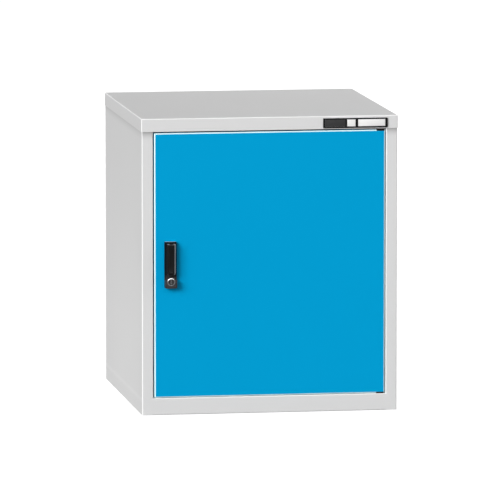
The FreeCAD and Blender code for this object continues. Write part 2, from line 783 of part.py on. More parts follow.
def make_hinges():
    """Pins fixed in the carcass, plastic bushes in the door, and the plates that stiffen the door there.

    Each bush has a nose that fills a notch in the door's folded edge.
    """
    lower_seat = "floor_under"
    lower_tip = "door_bottom + hinge_pin_reach"
    pin = turn_upright("lower_hinge_pin", "pivot_x", "pivot_y", [
        ("0", f"{lower_seat} - pin_head_height"), ("pin_head_radius", f"{lower_seat} - pin_head_height"),
        ("pin_head_radius", lower_seat), ("hinge_pin_radius", lower_seat),
        ("hinge_pin_radius", f"{lower_tip} - hinge_pin_radius / 2"),
        ("hinge_pin_radius / 2", lower_tip), ("0", lower_tip),
    ])
    keep(pin, "lower_hinge_pin")
    upper_seat = "lip_bottom + sheet_gauge"
    upper_tip = "door_top - hinge_pin_reach"
    pin = turn_upright("upper_hinge_pin", "pivot_x", "pivot_y", [
        ("0", upper_tip), ("hinge_pin_radius / 2", upper_tip),
        ("hinge_pin_radius", f"{upper_tip} + hinge_pin_radius / 2"), ("hinge_pin_radius", upper_seat),
        ("pin_head_radius", upper_seat), ("pin_head_radius", f"{upper_seat} + pin_head_height"),
        ("0", f"{upper_seat} + pin_head_height"),
    ])
    keep(pin, "upper_hinge_pin")
    ends = (
        ("lower", "door_bottom", "1", "rail_height + thrust_clearance"),
        ("upper", "door_top", "-1", "lip_bottom - thrust_clearance"),
    )
    for word, edge, inward, rubbing in ends:
        wall = f"{edge} + {inward} * door_gauge"
        plate_end = f"{wall} + {inward} * hinge_plate_gauge"
        barrel_end = f"{plate_end} + {inward} * bush_reach"
        bush = turn_upright(f"{word}_hinge_bush", "pivot_x", "pivot_y", [
            ("bush_bore", rubbing), ("bush_flange_radius", rubbing), ("bush_flange_radius", edge),
            ("bush_radius", edge), ("bush_radius", barrel_end), ("bush_bore", barrel_end),
        ])
        nose_end = f"{edge} + {inward} * bush_nose_height"
        low, high = (rubbing, nose_end) if inward == "1" else (nose_end, rubbing)
        pad(bush, "XY_Plane", low, f"({high}) - ({low})",
            rectangle("nose_left", "nose_right", "front_face", "bend_end"))
        nose_tip = {"y": value("front_face"), "z": value(rubbing)}
        round_over(bush, "bush_nose_edge", lambda side: lies_at(side, **nose_tip))
        keep(bush, f"{word}_hinge_bush")
        plate = new_body(f"{word}_hinge_plate")
        lower_face = wall if inward == "1" else plate_end
        pad(plate, "XY_Plane", lower_face, "hinge_plate_gauge",
            rectangle("door_right - door_gauge - hinge_plate_length", "door_right - door_gauge",
                      "bend_end", "door_back - door_gauge"))
        drill(plate, "XY_Plane", lower_face, "hinge_plate_gauge", [(("pivot_x", "pivot_y"), "bush_radius")])
        keep(plate, f"{word}_hinge_plate")


def make_door():
    """Door tray with returned edges, and the hat-section stiffener behind its skin."""
    door = new_body("door_skin")
    pad(door, "XZ_Plane", "door_back", "door_thickness",
        rectangle("door_left", "door_right", "door_bottom", "door_top"))
    front = value("front_face")
    inside = value("skin_back")
    round_over(door, "door_bend_radius + door_gauge", lambda edge: lies_at(edge, y=front))
    cut(door, "XZ_Plane", "door_back", "door_gauge",
        rectangle("door_left + door_return", "door_right - door_return",
                  "door_bottom + door_return", "door_top - door_return"))
    cut(door, "XZ_Plane", "door_back - door_gauge", "door_thickness - 2 * door_gauge",
        rectangle("door_left + door_gauge", "door_right - door_gauge",
                  "door_bottom + door_gauge", "door_top - door_gauge"))
    round_over(door, "door_bend_radius", lambda edge: lies_at(edge, y=inside))
    drill(door, "XZ_Plane", "skin_back", "door_gauge", [
        (("handle_x", "spindle_z"), "spindle_hole"),
        (("handle_x", "upper_screw_z"), "screw_radius"),
        (("handle_x", "lower_screw_z"), "screw_radius"),
    ])
    edges = (("door_top - door_gauge", "handle_x - rod_offset"), ("door_bottom", "handle_x + rod_offset"))
    for level, rod_x in edges:
        drill(door, "XY_Plane", level, "door_gauge", [
            (("pivot_x", "pivot_y"), "bush_radius"),
            ((rod_x, "rod_y"), "guide_radius"),
        ])
    notches = (("door_bottom", "door_bottom + bush_nose_height"), ("door_top - bush_nose_height", "door_top"))
    for low, high in notches:
        cut(door, "XZ_Plane", "bend_end", "bend_end - front_face",
            rectangle("nose_left", "nose_right", low, high))
    keep(door, "door_skin")
    hat_back = "skin_back + stiffener_depth"
    half = "stiffener_width / 2"
    path = [
        (f"door_middle - {half} - stiffener_flange", "skin_back"), (f"door_middle - {half}", "skin_back"),
        (f"door_middle - {half}", hat_back), (f"door_middle + {half}", hat_back),
        (f"door_middle + {half}", "skin_back"), (f"door_middle + {half} + stiffener_flange", "skin_back"),
    ]
    stiffener = fold("door_stiffener", "XY_Plane", "door_bottom + stiffener_margin",
                     "door_top - door_bottom - 2 * stiffener_margin", path, 1)
    keep(stiffener, "door_stiffener")


def make_door_stop():
    """Angle strip behind the door's free edge, with rubber buffers that the door closes on."""
    path = [
        ("-opening", "stop_face + stop_web"), ("-opening", "stop_face"), ("-opening + stop_leg", "stop_face"),
    ]
    strip = fold("door_stop", "XY_Plane", "door_bottom + stop_margin",
                 "door_top - door_bottom - 2 * stop_margin", path, 1)
    keep(strip, "door_stop")
    buffers = []
    for height in ("door_bottom + buffer_margin", "(door_bottom + door_top) / 2", "door_top - buffer_margin"):
        tip = "stop_face - buffer_height"
        buffers.append(turn_facing(f"door_buffer_{len(buffers)}", "buffer_x", height, [
            ("0", tip), ("buffer_flat", tip), ("buffer_radius", "stop_face - buffer_rim"),
            ("buffer_radius", "stop_face"), ("0", "stop_face"),
        ]))
    group("door_buffers", buffers)


def make_label_holder():
    """Black label holder on the cover's front lip, with a plain field and two white cards."""
    holder = new_body("label_holder")
    pad(holder, "XZ_Plane", "cover_front", "label_depth",
        rectangle("label_left", "label_right", "label_bottom", "label_top"))
    right = value("label_right")
    round_over(holder, "label_corner", lambda edge: is_along(edge, "y") and lies_at(edge, x=right))
    low = "label_bottom + label_rim"
    high = "label_top - label_rim"
    field_floor = "cover_front - label_depth + field_recess"
    cut(holder, "XZ_Plane", field_floor, "field_recess",
        rectangle("field_left", "field_right - label_rim", low, high))
    windows = (("square_left", "square_right"), ("card_left", "card_right"))
    cards = []
    for left, right_edge in windows:
        cut(holder, "XZ_Plane", "label_floor", "label_recess", rectangle(left, right_edge, low, high))
        card = new_body(f"label_card_{len(cards)}")
        pad(card, "XZ_Plane", "label_floor", "card_gauge",
            rectangle(f"{left} + card_play", f"{right_edge} - card_play",
                      f"{low} + card_play", f"{high} - card_play"))
        cards.append(card)
    keep(holder, "label_holder")
    group("label_cards", cards)


def base_outline(margin):
    """The handle base's outline, drawn in by a margin."""
    return rectangle(f"handle_x - base_half + {margin}", f"handle_x + base_half - {margin}",
                     f"base_bottom + {margin}", f"base_top - {margin}")


def make_handle_base():
    """Gasket, moulded base with its lock housing, and the clamp plate and screws behind the door skin."""
    spindle_spot = ("handle_x", "spindle_z")
    lock_spot = ("handle_x", "lock_z")
    screw_spots = [("handle_x", height) for height in ("upper_screw_z", "lower_screw_z")]
    gasket = new_body("handle_gasket")
    pad(gasket, "XZ_Plane", "front_face", "gasket_gauge", base_outline("gasket_margin"))
    drill(gasket, "XZ_Plane", "front_face", "gasket_gauge",
          [(spindle_spot, "spindle_hole")] + [(spot, "screw_radius") for spot in screw_spots])
    keep(gasket, "handle_gasket")

    base = new_body("handle_base")
    pad(base, "XZ_Plane", "gasket_front", "base_thickness", base_outline("0"))
    pad(base, "XZ_Plane", "gasket_front", "base_thickness + housing_thickness",
        rectangle("handle_x - base_half", "handle_x + base_half", "base_bottom", "lock_z + shoulder_rise"))
    pad_rounds(base, "XZ_Plane", "gasket_front", "base_thickness + housing_thickness",
               [(lock_spot, "boss_radius")])
    round_over(base, "base_corner", lambda edge: is_along(edge, "y") and any(
        lies_at(edge, z=value(level)) for level in ("base_bottom", "base_top")))
    faces = (value("base_front"), value("housing_front"))
    top = value("base_top")
    round_over(base, "base_edge", lambda edge: lies_at(edge, y=faces[1])
               or (lies_at(edge, y=faces[0]) and edge.BoundBox.ZMax > top - PLACE_TOLERANCE))
    drill(base, "XZ_Plane", "gasket_front", "base_thickness", [(spindle_spot, "spindle_bore")])
    drill(base, "XZ_Plane", "gasket_front", "screw_depth", [(spot, "screw_radius") for spot in screw_spots])
    drill(base, "XZ_Plane", "plug_rear", "plug_rear - housing_front", [(lock_spot, "plug_bore")])
    drill(base, "XZ_Plane", "tongue_slot_front", "tongue_slot_front - housing_front",
          [(lock_spot, "cylinder_radius")])
    swing = "-tongue_width / 2 - tongue_clearance"
    slot_depth = "tongue_slot_back - tongue_slot_front"
    cut(base, "XZ_Plane", "tongue_slot_back", slot_depth,
        rectangle(f"handle_x + ({swing})", "handle_x + base_width",
                  f"lock_z + ({swing})", "lock_z + base_width"))
    drill(base, "XZ_Plane", "tongue_slot_back", slot_depth, [(lock_spot, "tongue_hub + tongue_clearance")])
    keep(base, "handle_base")

    clamp = new_body("handle_clamp")
    pad(clamp, "XZ_Plane", "clamp_back", "clamp_gauge", base_outline("clamp_margin"))
    drill(clamp, "XZ_Plane", "clamp_back", "clamp_gauge",
          [(spindle_spot, "spindle_hole")] + [(spot, "screw_radius") for spot in screw_spots])
    keep(clamp, "handle_clamp")
    depth = "clamp_gauge + door_gauge + gasket_gauge + screw_depth"
    group("handle_screws", [make_screw(f"handle_screw_{number}", spot, "clamp_back", "-1", depth)
                            for number, spot in enumerate(screw_spots)])


def make_lock():
    """Chromed lock cylinder in the housing, with a key plug that carries the tongue."""
    barrel_end = "tongue_slot_front"
    cylinder = turn_facing("lock_cylinder", "handle_x", "lock_z", [
        ("plug_bore", barrel_end), ("cylinder_radius", barrel_end), ("cylinder_radius", "housing_front"),
        ("ring_radius", "housing_front"), ("ring_radius", "housing_front - ring_height / 2"),
        ("ring_radius - ring_height / 2", "ring_front"), ("ring_radius - ring_rim", "ring_front"),
        ("ring_radius - ring_rim - ring_dish", "ring_front + ring_dish"),
        ("plug_bore", "ring_front + ring_dish"),
    ])
    keep(cylinder, "lock_cylinder")

    plug_front = "ring_front + ring_dish"
    plug_end = "plug_rear - tongue_clearance"
    plug = turn_facing("key_plug", "handle_x", "lock_z", [
        ("0", plug_front), ("plug_radius", plug_front), ("plug_radius", plug_end), ("0", plug_end),
    ])
    cut(plug, "XZ_Plane", f"{plug_front} + keyway_depth", "keyway_depth",
        rectangle("handle_x - keyway_width / 2", "handle_x + keyway_width / 2",
                  "lock_z - keyway_height / 2", "lock_z + keyway_height / 2"))
    keep(plug, "key_plug")

    tongue = new_body("lock_tongue")
    pad_rounds(tongue, "XZ_Plane", "tongue_back", "tongue_gauge", [(("handle_x", "lock_z"), "tongue_hub")])
    pad(tongue, "XZ_Plane", "tongue_back", "tongue_gauge",
        rectangle("handle_x", "handle_x + tongue_reach",
                  "lock_z - tongue_width / 2", "lock_z + tongue_width / 2"))
    drill(tongue, "XZ_Plane", "tongue_back", "tongue_gauge", [(("handle_x", "lock_z"), "plug_radius")])
    keep(tongue, "lock_tongue")


def make_spindle():
    """Spindle through the base and the door skin, with a knuckle in front that holds the lever's pin."""
    spindle = turn_facing("spindle", "handle_x", "spindle_z", [
        ("0", "base_front"), ("spindle_radius", "base_front"),
        ("spindle_radius", "cam_front"), ("0", "cam_front"),
    ])
    half = "spindle_square / 2"
    pad(spindle, "XZ_Plane", "cam_back", "cam_gauge",
        rectangle(f"handle_x - {half}", f"handle_x + {half}", f"spindle_z - {half}", f"spindle_z + {half}"))
    knuckle_left = "handle_x - head_width / 2"
    pad(spindle, "YZ_Plane", knuckle_left, "head_width",
        rectangle("lever_pin_y", "base_front", "spindle_z - knuckle_radius", "spindle_z + knuckle_radius"))
    pad_rounds(spindle, "YZ_Plane", knuckle_left, "head_width",
               [(("lever_pin_y", "spindle_z"), "knuckle_radius")])
    drill(spindle, "YZ_Plane", knuckle_left, "head_width",
          [(("lever_pin_y", "spindle_z"), "lever_pin_radius")])
    drill(spindle, "XZ_Plane", "cam_back", "cam_gauge + screw_depth",
          [(("handle_x", "spindle_z"), "screw_radius")])
    keep(spindle, "spindle")
    pin = new_body("lever_pin")
    pad_rounds(pin, "YZ_Plane", "handle_x - lever_width / 2 + slot_clearance",
               "lever_width - 2 * slot_clearance", [(("lever_pin_y", "spindle_z"), "lever_pin_radius")])
    keep(pin, "lever_pin")


def make_lever():
    """Lever that hangs over the base, its upper end forked round the spindle's knuckle.

    The back of the upper end slopes away from the base, so that the lower end can be lifted, and the
    lower end has a thin catch that the lock's tongue covers.
    """
    top = "spindle_z + lever_top"
    tilt_sine = "sin(lever_lift * 1deg)"
    tilt_cosine = "cos(lever_lift * 1deg)"
    # the slope touches the round end and stays clear of the base when the lever is lifted all the way
    slope_top = (f"lever_pin_y + (barrel_radius - lever_top * {tilt_sine}) / {tilt_cosine}", top)
    slope_foot = (f"lever_pin_y + barrel_radius * {tilt_cosine}", f"spindle_z + barrel_radius * {tilt_sine}")
    side_view = [
        ("lever_front", top), slope_top, slope_foot, ("lever_back", "spindle_z"), ("lever_back", "catch_end"),
        ("catch_front", "catch_end"), ("catch_front", "lever_end"), ("lever_front", "lever_end"),
    ]
    left_side = "handle_x - lever_half"
    lever = new_body("lever")
    pad(lever, "YZ_Plane", left_side, "lever_width", side_view)
    pad_rounds(lever, "YZ_Plane", left_side, "lever_width", [(("lever_pin_y", "spindle_z"), "barrel_radius")])
    front_view = new_body("lever_front_view")
    round_end = "catch_end + lever_half"
    pad(front_view, "XZ_Plane", "lever_back", "lever_thickness",
        rectangle(left_side, "handle_x + lever_half", round_end, top))
    pad_rounds(front_view, "XZ_Plane", "lever_back", "lever_thickness",
               [(("handle_x", round_end), "lever_half")])
    overlap = lever.newObject("PartDesign::Boolean", "lever_overlap")
    overlap.Type = "Common"
    overlap.setObjects([front_view])
    document.recompute()
    front = value("lever_front")
    round_over(lever, "lever_edge", lambda edge: lies_at(edge, y=front))
    slot_half = "head_width / 2 + slot_clearance"
    cut(lever, "XZ_Plane", "base_front", "base_front - lever_pin_y + knuckle_radius + slot_clearance",
        rectangle(f"handle_x - ({slot_half})", f"handle_x + {slot_half}",
                  "spindle_z - 2 * knuckle_radius", f"{top} + lever_top"))
    drill(lever, "YZ_Plane", left_side, "lever_width",
          [(("lever_pin_y", "spindle_z"), "lever_pin_radius + running_fit")])
    keep(lever, "lever")


def make_rod_drive():
    """Cam on the spindle's square, with a crank pin for each lock rod, and its screw."""
    cam = new_body("rod_cam")
    hub = "spindle_square"
    pins = [
        ("handle_x - crank_rest", "spindle_z + crank_rest"),
        ("handle_x + crank_rest", "spindle_z - crank_rest"),
    ]
    pad_rounds(cam, "XZ_Plane", "cam_back", "cam_gauge", [(("handle_x", "spindle_z"), hub)])
    reach = "crank_lobe * diagonal"
    arm = [
        (f"handle_x - crank_rest - {reach}", f"spindle_z + crank_rest - {reach}"),
        (f"handle_x + crank_rest - {reach}", f"spindle_z - crank_rest - {reach}"),
        (f"handle_x + crank_rest + {reach}", f"spindle_z - crank_rest + {reach}"),
        (f"handle_x - crank_rest + {reach}", f"spindle_z + crank_rest + {reach}"),
    ]
    pad(cam, "XZ_Plane", "cam_back", "cam_gauge", arm)
    for spot in pins:
        pad_rounds(cam, "XZ_Plane", "cam_back", "cam_gauge", [(spot, "crank_lobe")])
    half = "spindle_square / 2"
    cut(cam, "XZ_Plane", "cam_back", "cam_gauge",
        rectangle(f"handle_x - {half}", f"handle_x + {half}", f"spindle_z - {half}", f"spindle_z + {half}"))
    pad_rounds(cam, "XZ_Plane", "rod_plate_back + rod_gap", "rod_plate_back + rod_gap - cam_back",
               [(spot, "crank_pin_radius") for spot in pins])
    keep(cam, "rod_cam")
    screw = make_screw("cam_screw", ("handle_x", "spindle_z"), "cam_back", "-1", "cam_gauge + screw_depth")
    keep(screw, "cam_screw")


def make_rods():
    """Lock rods with slotted ends on the crank pins, their guides in the door and keepers in the carcass."""
    ends = (
        ("upper", "-1", "1", "lip_bottom - rod_tip_gap", "door_top", "lip_bottom + sheet_gauge"),
        ("lower", "1", "-1", "rail_height + rod_tip_gap", "door_bottom", "floor_under - keeper_gauge"),
    )
    for word, hand, outward, tip, edge, keeper_bottom in ends:
        rod_x = f"handle_x + {hand} * rod_offset"
        pin_z = f"spindle_z + {outward} * crank_rest"
        rod = new_body(f"{word}_rod")
        neck = f"{pin_z} + {outward} * (crank_slot_rise + rod_plate_neck)"
        pad(rod, "XZ_Plane", "rod_plate_back", "rod_plate_gauge",
            rectangle(f"{rod_x} - rod_plate_half", f"{rod_x} + rod_plate_half",
                      f"{pin_z} - {outward} * (crank_slot_rise + rod_plate_wall)", neck))
        cut(rod, "XZ_Plane", "rod_plate_back", "rod_plate_gauge",
            rectangle(f"{rod_x} - crank_slot_half", f"{rod_x} + crank_slot_half",
                      f"{pin_z} - crank_slot_rise", f"{pin_z} + crank_slot_rise"))
        start = f"{neck} - {outward} * rod_lap"
        low, high = (start, tip) if outward == "1" else (tip, start)
        pad_rounds(rod, "XY_Plane", low, f"({high}) - ({low})", [((rod_x, "rod_y"), "rod_radius")])
        tip_height = value(tip)
        bevel(rod, "rod_tip_chamfer", lambda edge: lies_at(edge, z=tip_height))
        keep(rod, f"{word}_rod")

        wall = f"{edge} - {outward} * door_gauge"
        flange_end = f"{wall} - {outward} * guide_flange_height"
        guide = turn_upright(f"{word}_rod_guide", rod_x, "rod_y", [
            ("guide_bore", edge), ("guide_radius", edge), ("guide_radius", wall),
            ("guide_flange_radius", wall), ("guide_flange_radius", flange_end), ("guide_bore", flange_end),
        ])
        keep(guide, f"{word}_rod_guide")

        keeper = new_body(f"{word}_keeper")
        pad(keeper, "XY_Plane", keeper_bottom, "keeper_gauge",
            rectangle(f"{rod_x} - keeper_length / 2", f"{rod_x} + keeper_length / 2",
                      "rod_y - keeper_width / 2", "rod_y + keeper_width / 2"))
        drill(keeper, "XY_Plane", keeper_bottom, "keeper_gauge", [((rod_x, "rod_y"), "keeper_hole")])
        keep(keeper, f"{word}_keeper")


def check_all():
    """Stop if any object failed to build, or any sub-part is empty or broken."""
    for thing in document.Objects:
        if "Invalid" in thing.State or "Error" in thing.State:
            raise ValueError(f"{thing.Label} did not build: {thing.State}")
    for node in nodes:
        if node.Shape.isNull() or not node.Shape.isValid():
            raise ValueError(f"{node.Label} has no sound shape")


def write_all():
    """Write each sub-part to its own file."""
    os.makedirs("parts", exist_ok=True)
    for node in nodes:
        node.Shape.exportStep(f"parts/{node.Label}.step")
        print(f"{node.Label}: {len(node.Shape.Solids)} solids, {node.Shape.Volume / 1000:.2f} cm3")


fill_sheet()
make_side_panels()
make_back_panel()
make_floor_pan()
make_base()
make_top_rails()
make_cover()
make_shelf_rails()
make_shelf()
make_hinges()
make_door()
make_door_stop()
make_label_holder()
make_handle_base()
make_lock()
make_spindle()
make_lever()
make_rod_drive()
make_rods()
document.recompute()
check_all()
write_all()
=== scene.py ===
"""Looks of a one-door workshop cabinet: finishes for its sheets, modelled fittings, a studio and a camera.

Metres, in the cabinet's own frame: +Z is up, the door faces -Y and +X is to the right of someone in front of it.
"""
import json
import logging
import math
from contextlib import contextmanager
from dataclasses import dataclass
from enum import Enum
from typing import Any, Callable, Dict, Iterator, List, Optional, Sequence, Tuple, Union

import bmesh
import bpy
from mathutils import Matrix, Vector


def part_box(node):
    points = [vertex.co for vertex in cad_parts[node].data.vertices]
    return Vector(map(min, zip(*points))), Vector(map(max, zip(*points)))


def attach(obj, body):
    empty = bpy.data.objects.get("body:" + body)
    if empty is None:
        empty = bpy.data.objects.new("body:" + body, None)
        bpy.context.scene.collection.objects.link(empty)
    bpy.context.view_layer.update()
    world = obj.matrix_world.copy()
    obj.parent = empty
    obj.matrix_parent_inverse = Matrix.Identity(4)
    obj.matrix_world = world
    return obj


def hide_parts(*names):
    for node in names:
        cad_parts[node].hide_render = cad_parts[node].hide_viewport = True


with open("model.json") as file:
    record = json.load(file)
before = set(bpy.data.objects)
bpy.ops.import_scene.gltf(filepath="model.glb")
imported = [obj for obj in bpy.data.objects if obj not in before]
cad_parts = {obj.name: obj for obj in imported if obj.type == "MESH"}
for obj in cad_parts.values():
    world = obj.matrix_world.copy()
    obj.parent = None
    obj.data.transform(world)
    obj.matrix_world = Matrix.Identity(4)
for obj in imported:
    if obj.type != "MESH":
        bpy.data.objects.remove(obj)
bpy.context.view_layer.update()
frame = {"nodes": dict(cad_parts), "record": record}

MM = 0.001
LOG = logging.getLogger("workshop_cabinet")

Piece = bpy.types.Object
Material = bpy.types.Material
Colour = Tuple[float, float, float]
Axis3 = Tuple[float, float, float]
Point = Tuple[float, float, float]
Ring = Tuple[float, float]
Value = Union["Wire", float]
Test = Callable[[Any], bool]


class Axis(Enum):
    """Directions in the cabinet's frame."""

    UP = (0.0, 0.0, 1.0)
    FORWARD = (0.0, -1.0, 0.0)
    BACK = (0.0, 1.0, 0.0)
    RIGHT = (1.0, 0.0, 0.0)

    @property
    def vector(self) -> Vector:
        """The direction as a vector."""
        return Vector(self.value)


class Join(Enum):
    """Ways of putting two solids together."""

    ADD = "UNION"
    CUT = "DIFFERENCE"


class Pick(Enum):
    """What an edit acts on."""

    FACE = "FACE"
    EDGE = "EDGE"


class Role(Enum):
    """What a light is for: diffuse light and highlights, diffuse light alone or highlights alone."""

    FULL = (True, True)
    FILL = (True, False)
    SHEEN = (False, True)


class Slot(Enum):
    """The record's material slots."""

    GREY_PAINT = "grey_paint"
    BLUE_PAINT = "blue_paint"
    BLACK_PLASTIC = "black_plastic"
    CHROME = "chrome"
    ZINC = "zinc_steel"
    RUBBER = "rubber"
    CARD = "white_card"


@dataclass(frozen=True)
class Box:
    """The place of a node at rest, from its lowest to its highest corner."""

    low: Vector
    high: Vector

    @classmethod
    def of(cls, node: str) -> "Box":
        """The place of one CAD node."""
        return cls(*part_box(node))

    @property
    def centre(self) -> Vector:
        """The middle of the box."""
        return (self.low + self.high) / 2

    @property
    def size(self) -> Vector:
        """Width, depth and height of the box."""
        return self.high - self.low


class Wire:
    """An output socket of a shader graph, which can be used in sums as a number is."""

    def __init__(self, graph: "Graph", socket: bpy.types.NodeSocket) -> None:
        """Keep the socket together with the graph that its sums are added to."""
        self.graph = graph
        self.socket = socket

    def __add__(self, other: Value) -> "Wire":
        """Sum with a number or another socket."""
        return self.graph.math("ADD", self, other)

    __radd__ = __add__

    def __sub__(self, other: Value) -> "Wire":
        """Difference from a number or another socket."""
        return self.graph.math("SUBTRACT", self, other)

    def __rsub__(self, other: float) -> "Wire":
        """Difference of a number on the left."""
        return self.graph.math("SUBTRACT", other, self)

    def __mul__(self, other: Value) -> "Wire":
        """Product with a number or another socket."""
        return self.graph.math("MULTIPLY", self, other)

    def __abs__(self) -> "Wire":
        """Size without its sign."""
        return self.graph.math("ABSOLUTE", self, 0.0)

    def larger(self, other: Value) -> "Wire":
        """The larger of two values."""
        return self.graph.math("MAXIMUM", self, other)


@dataclass(frozen=True)
class Grain:
    """Fine relief of a surface: its size and depth, how much of it shows, its finer layers and its scale."""

    size: float
    depth: float
    strength: float
    detail: float = 2.0
    scale: Axis3 = (1.0, 1.0, 1.0)


class Graph:
    """The node tree of one material."""

    edge_start = 0.01
    edge_full = 0.08

    def __init__(self, name: str) -> None:
        """Start a material with an empty tree.

        Args:
            name: The material's name.
        """
        self.material = bpy.data.materials.new(name)
        self.material.use_nodes = True
        self.tree = self.material.node_tree
        self.tree.nodes.clear()

    def node(self, kind: str, settings: Optional[Dict[str, Any]] = None,
             inputs: Optional[Dict[Union[str, int], Any]] = None, output: Union[str, int] = 0) -> Optional[Wire]:
        """Add one node.

        Args:
            kind: The node's type, without the ShaderNode in front.
            settings: Properties of the node, set first.
            inputs: Values or links of its sockets.
            output: Which of its outputs is handed back.

        Returns:
            The chosen output, or nothing from a node that has none.
        """
        node = self.tree.nodes.new(f"ShaderNode{kind}")
        for name, setting in (settings or {}).items():
            setattr(node, name, setting)
        for name, value in (inputs or {}).items():
            if isinstance(value, Wire):
                self.tree.links.new(value.socket, node.inputs[name])
            else:
                node.inputs[name].default_value = value
        return Wire(self, node.outputs[output]) if node.outputs else None

    def math(self, operation: str, first: Value, second: Value) -> Wire:
        """One sum of two values."""
        return self.node("Math", {"operation": operation}, {0: first, 1: second})

    def rise(self, value: Value, start: float, full: float) -> Wire:
        """A value's climb from 0 at its start to 1 where it is full, and level beyond them."""
        return self.node("MapRange", inputs={0: value, 1: start, 2: full})

    def place(self) -> Wire:
        """The surface's own coordinates, in metres."""
        return self.node("TexCoord", output="Object")

    def height(self) -> Wire:
        """The surface's own height, in metres."""
        return self.node("SeparateXYZ", inputs={"Vector": self.place()}, output="Z")

    def noise(self, size: float, detail: float = 2.0, scale: Axis3 = (1.0, 1.0, 1.0)) -> Wire:
        """Noise between -0.5 and 0.5, in grains of a size; a scale of less than 1 draws them out along an axis."""
        where = self.node("Mapping", inputs={"Vector": self.place(), "Scale": scale})
        return self.node("TexNoise", inputs={"Vector": where, "Scale": 1.0 / size, "Detail": detail}) - 0.5

    def grain(self, grain: Grain) -> Wire:
        """The noise of a fine relief."""
        return self.noise(grain.size, grain.detail, grain.scale)

    def relief(self, noise: Wire, grain: Grain) -> Wire:
        """A normal bumped by the noise of a fine relief."""
        return self.node("Bump", inputs={"Strength": grain.strength, "Distance": grain.depth, "Height": noise})

    def facing(self) -> List[Wire]:
        """The three parts of the surface's normal."""
        normal = self.node("TexCoord", output="Normal")
        return [self.node("SeparateXYZ", inputs={"Vector": normal}, output=axis) for axis in range(3)]

    def bends(self) -> Wire:
        """A mask of rounded edges: 0 on flats along the axes, 1 where the surface turns halfway."""
        across, deep, up = (abs(part) for part in self.facing())
        return self.rise(1.0 - across.larger(deep).larger(up), self.edge_start, self.edge_full)

    def turned_to(self, direction: Axis3, base: float) -> Wire:
        """A mask of how far the surface turns to a direction, from a base where it is square to it."""
        along = sum((part * share for part, share in zip(self.facing(), direction) if share), base)
        return self.rise(along, 0.0, 1.0)

    def near(self, point: Vector, radius: float, fade: float) -> Wire:
        """A mask of what lies within a radius of a point, with a soft border as wide as its fade."""
        apart = self.node("VectorMath", {"operation": "DISTANCE"}, {0: self.place(), 1: point}, "Value")
        return self.rise(apart, radius, radius - fade)

    def under(self, level: float, reach: float) -> Wire:
        """A mask of what lies under a level: 1 close to it, then falling off to 0 within its reach."""
        drop = level - self.height()
        return self.math("POWER", self.rise(drop, reach, 0.0), 2.0) * self.math("GREATER_THAN", drop, 0.0)

    def line(self, level: float, half: float) -> Wire:
        """A mask of a soft level line: 1 at its height, and 0 from half its width away on."""
        return self.rise(abs(self.height() - level), half, 0.0)

    def mix(self, share: Wire, first: Union[Wire, Colour], second: Colour) -> Wire:
        """A blend of two colours."""
        start = first if isinstance(first, Wire) else (*first, 1.0)
        return self.node("Mix", {"data_type": "RGBA"}, {0: share, 6: start, 7: (*second, 1.0)}, 2)

    def shaded(self, colour: Colour, factor: Wire) -> Wire:
        """A colour made lighter or darker by a factor."""
        return self.node("VectorMath", {"operation": "SCALE"}, {0: colour, "Scale": factor})

    def finish(self, **sockets: Any) -> Material:
        """Close the graph with one shader.

        Args:
            **sockets: The shader's sockets, with spaces written as underscores.

        Returns:
            The finished material.
        """
        inputs = {name.replace("_", " "): value for name, value in sockets.items()}
        shader = self.node("BsdfPrincipled", inputs=inputs)
        self.node("OutputMaterial", inputs={"Surface": shader})
        return self.material


@dataclass(frozen=True)
class PowderCoat:
    """Baked powder paint on sheet steel: fine orange peel, and a painted highlight on the folds.

    The folds that turn to the chosen side get the painted highlight, and more so the larger that side's vector is.
    A painted shadow darkens the sheet under the cover's lip, most of all on the front, and a faint painted
    highlight line on the sides stands for the lit base edge.
    """

    name: str
    colour: Colour
    # Colour of the painted highlight on the folds.
    fold_highlight_colour: Colour
    specular: float
    # Side that the folds with a painted highlight turn to, and the mask's base where a fold is square to it.
    highlight_side: Axis3
    highlight_base: float
    # Painted shadow under the cover's lip: its share on the sides, its share on the front and how far down it
    # reaches.
    lip_shadow_share: float = 0.0
    front_lip_shadow_share: float = 0.0
    lip_shadow_reach: float = 26 * MM
    # Painted highlight line at the base on the sides: its share, its height and half its width.
    base_highlight_share: float = 0.0
    base_height: float = 43 * MM
    base_half: float = 10 * MM
    roughness: float = 0.5
    cloud_size: float = 180 * MM
    cloud_share: float = 0.015
    cloud_dulling: float = 0.08
    speck_size: float = 0.5 * MM
    speck_share: float = 0.03
    speck_dulling: float = 0.06
    peel: Grain = Grain(1.6 * MM, 0.02 * MM, strength=0.35, detail=1.0)

    def make(self) -> Material:
        """Build the material.

        Returns:
            The material.
        """
        graph = Graph(self.name)
        cloud = graph.noise(self.cloud_size)
        speck = graph.noise(self.speck_size)
        front = graph.turned_to(Axis.FORWARD.value, 0.0)
        # Painted shadow: the sheet is darkened under the cover's lip, most on the front, where the lip's shadow
        # falls.
        lip_shadow = (graph.under(Box.of("top_cover").low.z, self.lip_shadow_reach)
                * (self.lip_shadow_share + front * (self.front_lip_shadow_share - self.lip_shadow_share)))
        # Painted highlight: a faint light line on the side faces at the base's height stands for the lit top edge
        # of the base.
        base = graph.line(self.base_height, self.base_half) * abs(graph.facing()[0]) * self.base_highlight_share
        shade = 1.0 + cloud * self.cloud_share + speck * self.speck_share - lip_shadow + base
        # Painted highlight: folds that turn to the chosen side are mixed towards a light colour, in place of the
        # highlight that light would give.
        fold_highlight = graph.bends() * graph.turned_to(self.highlight_side, self.highlight_base)
        return graph.finish(
            Base_Color=graph.mix(fold_highlight, graph.shaded(self.colour, shade), self.fold_highlight_colour),
            Roughness=self.roughness + cloud * self.cloud_dulling + speck * self.speck_dulling,
            Specular_IOR_Level=self.specular,
            Normal=graph.relief(graph.grain(self.peel), self.peel),
        )


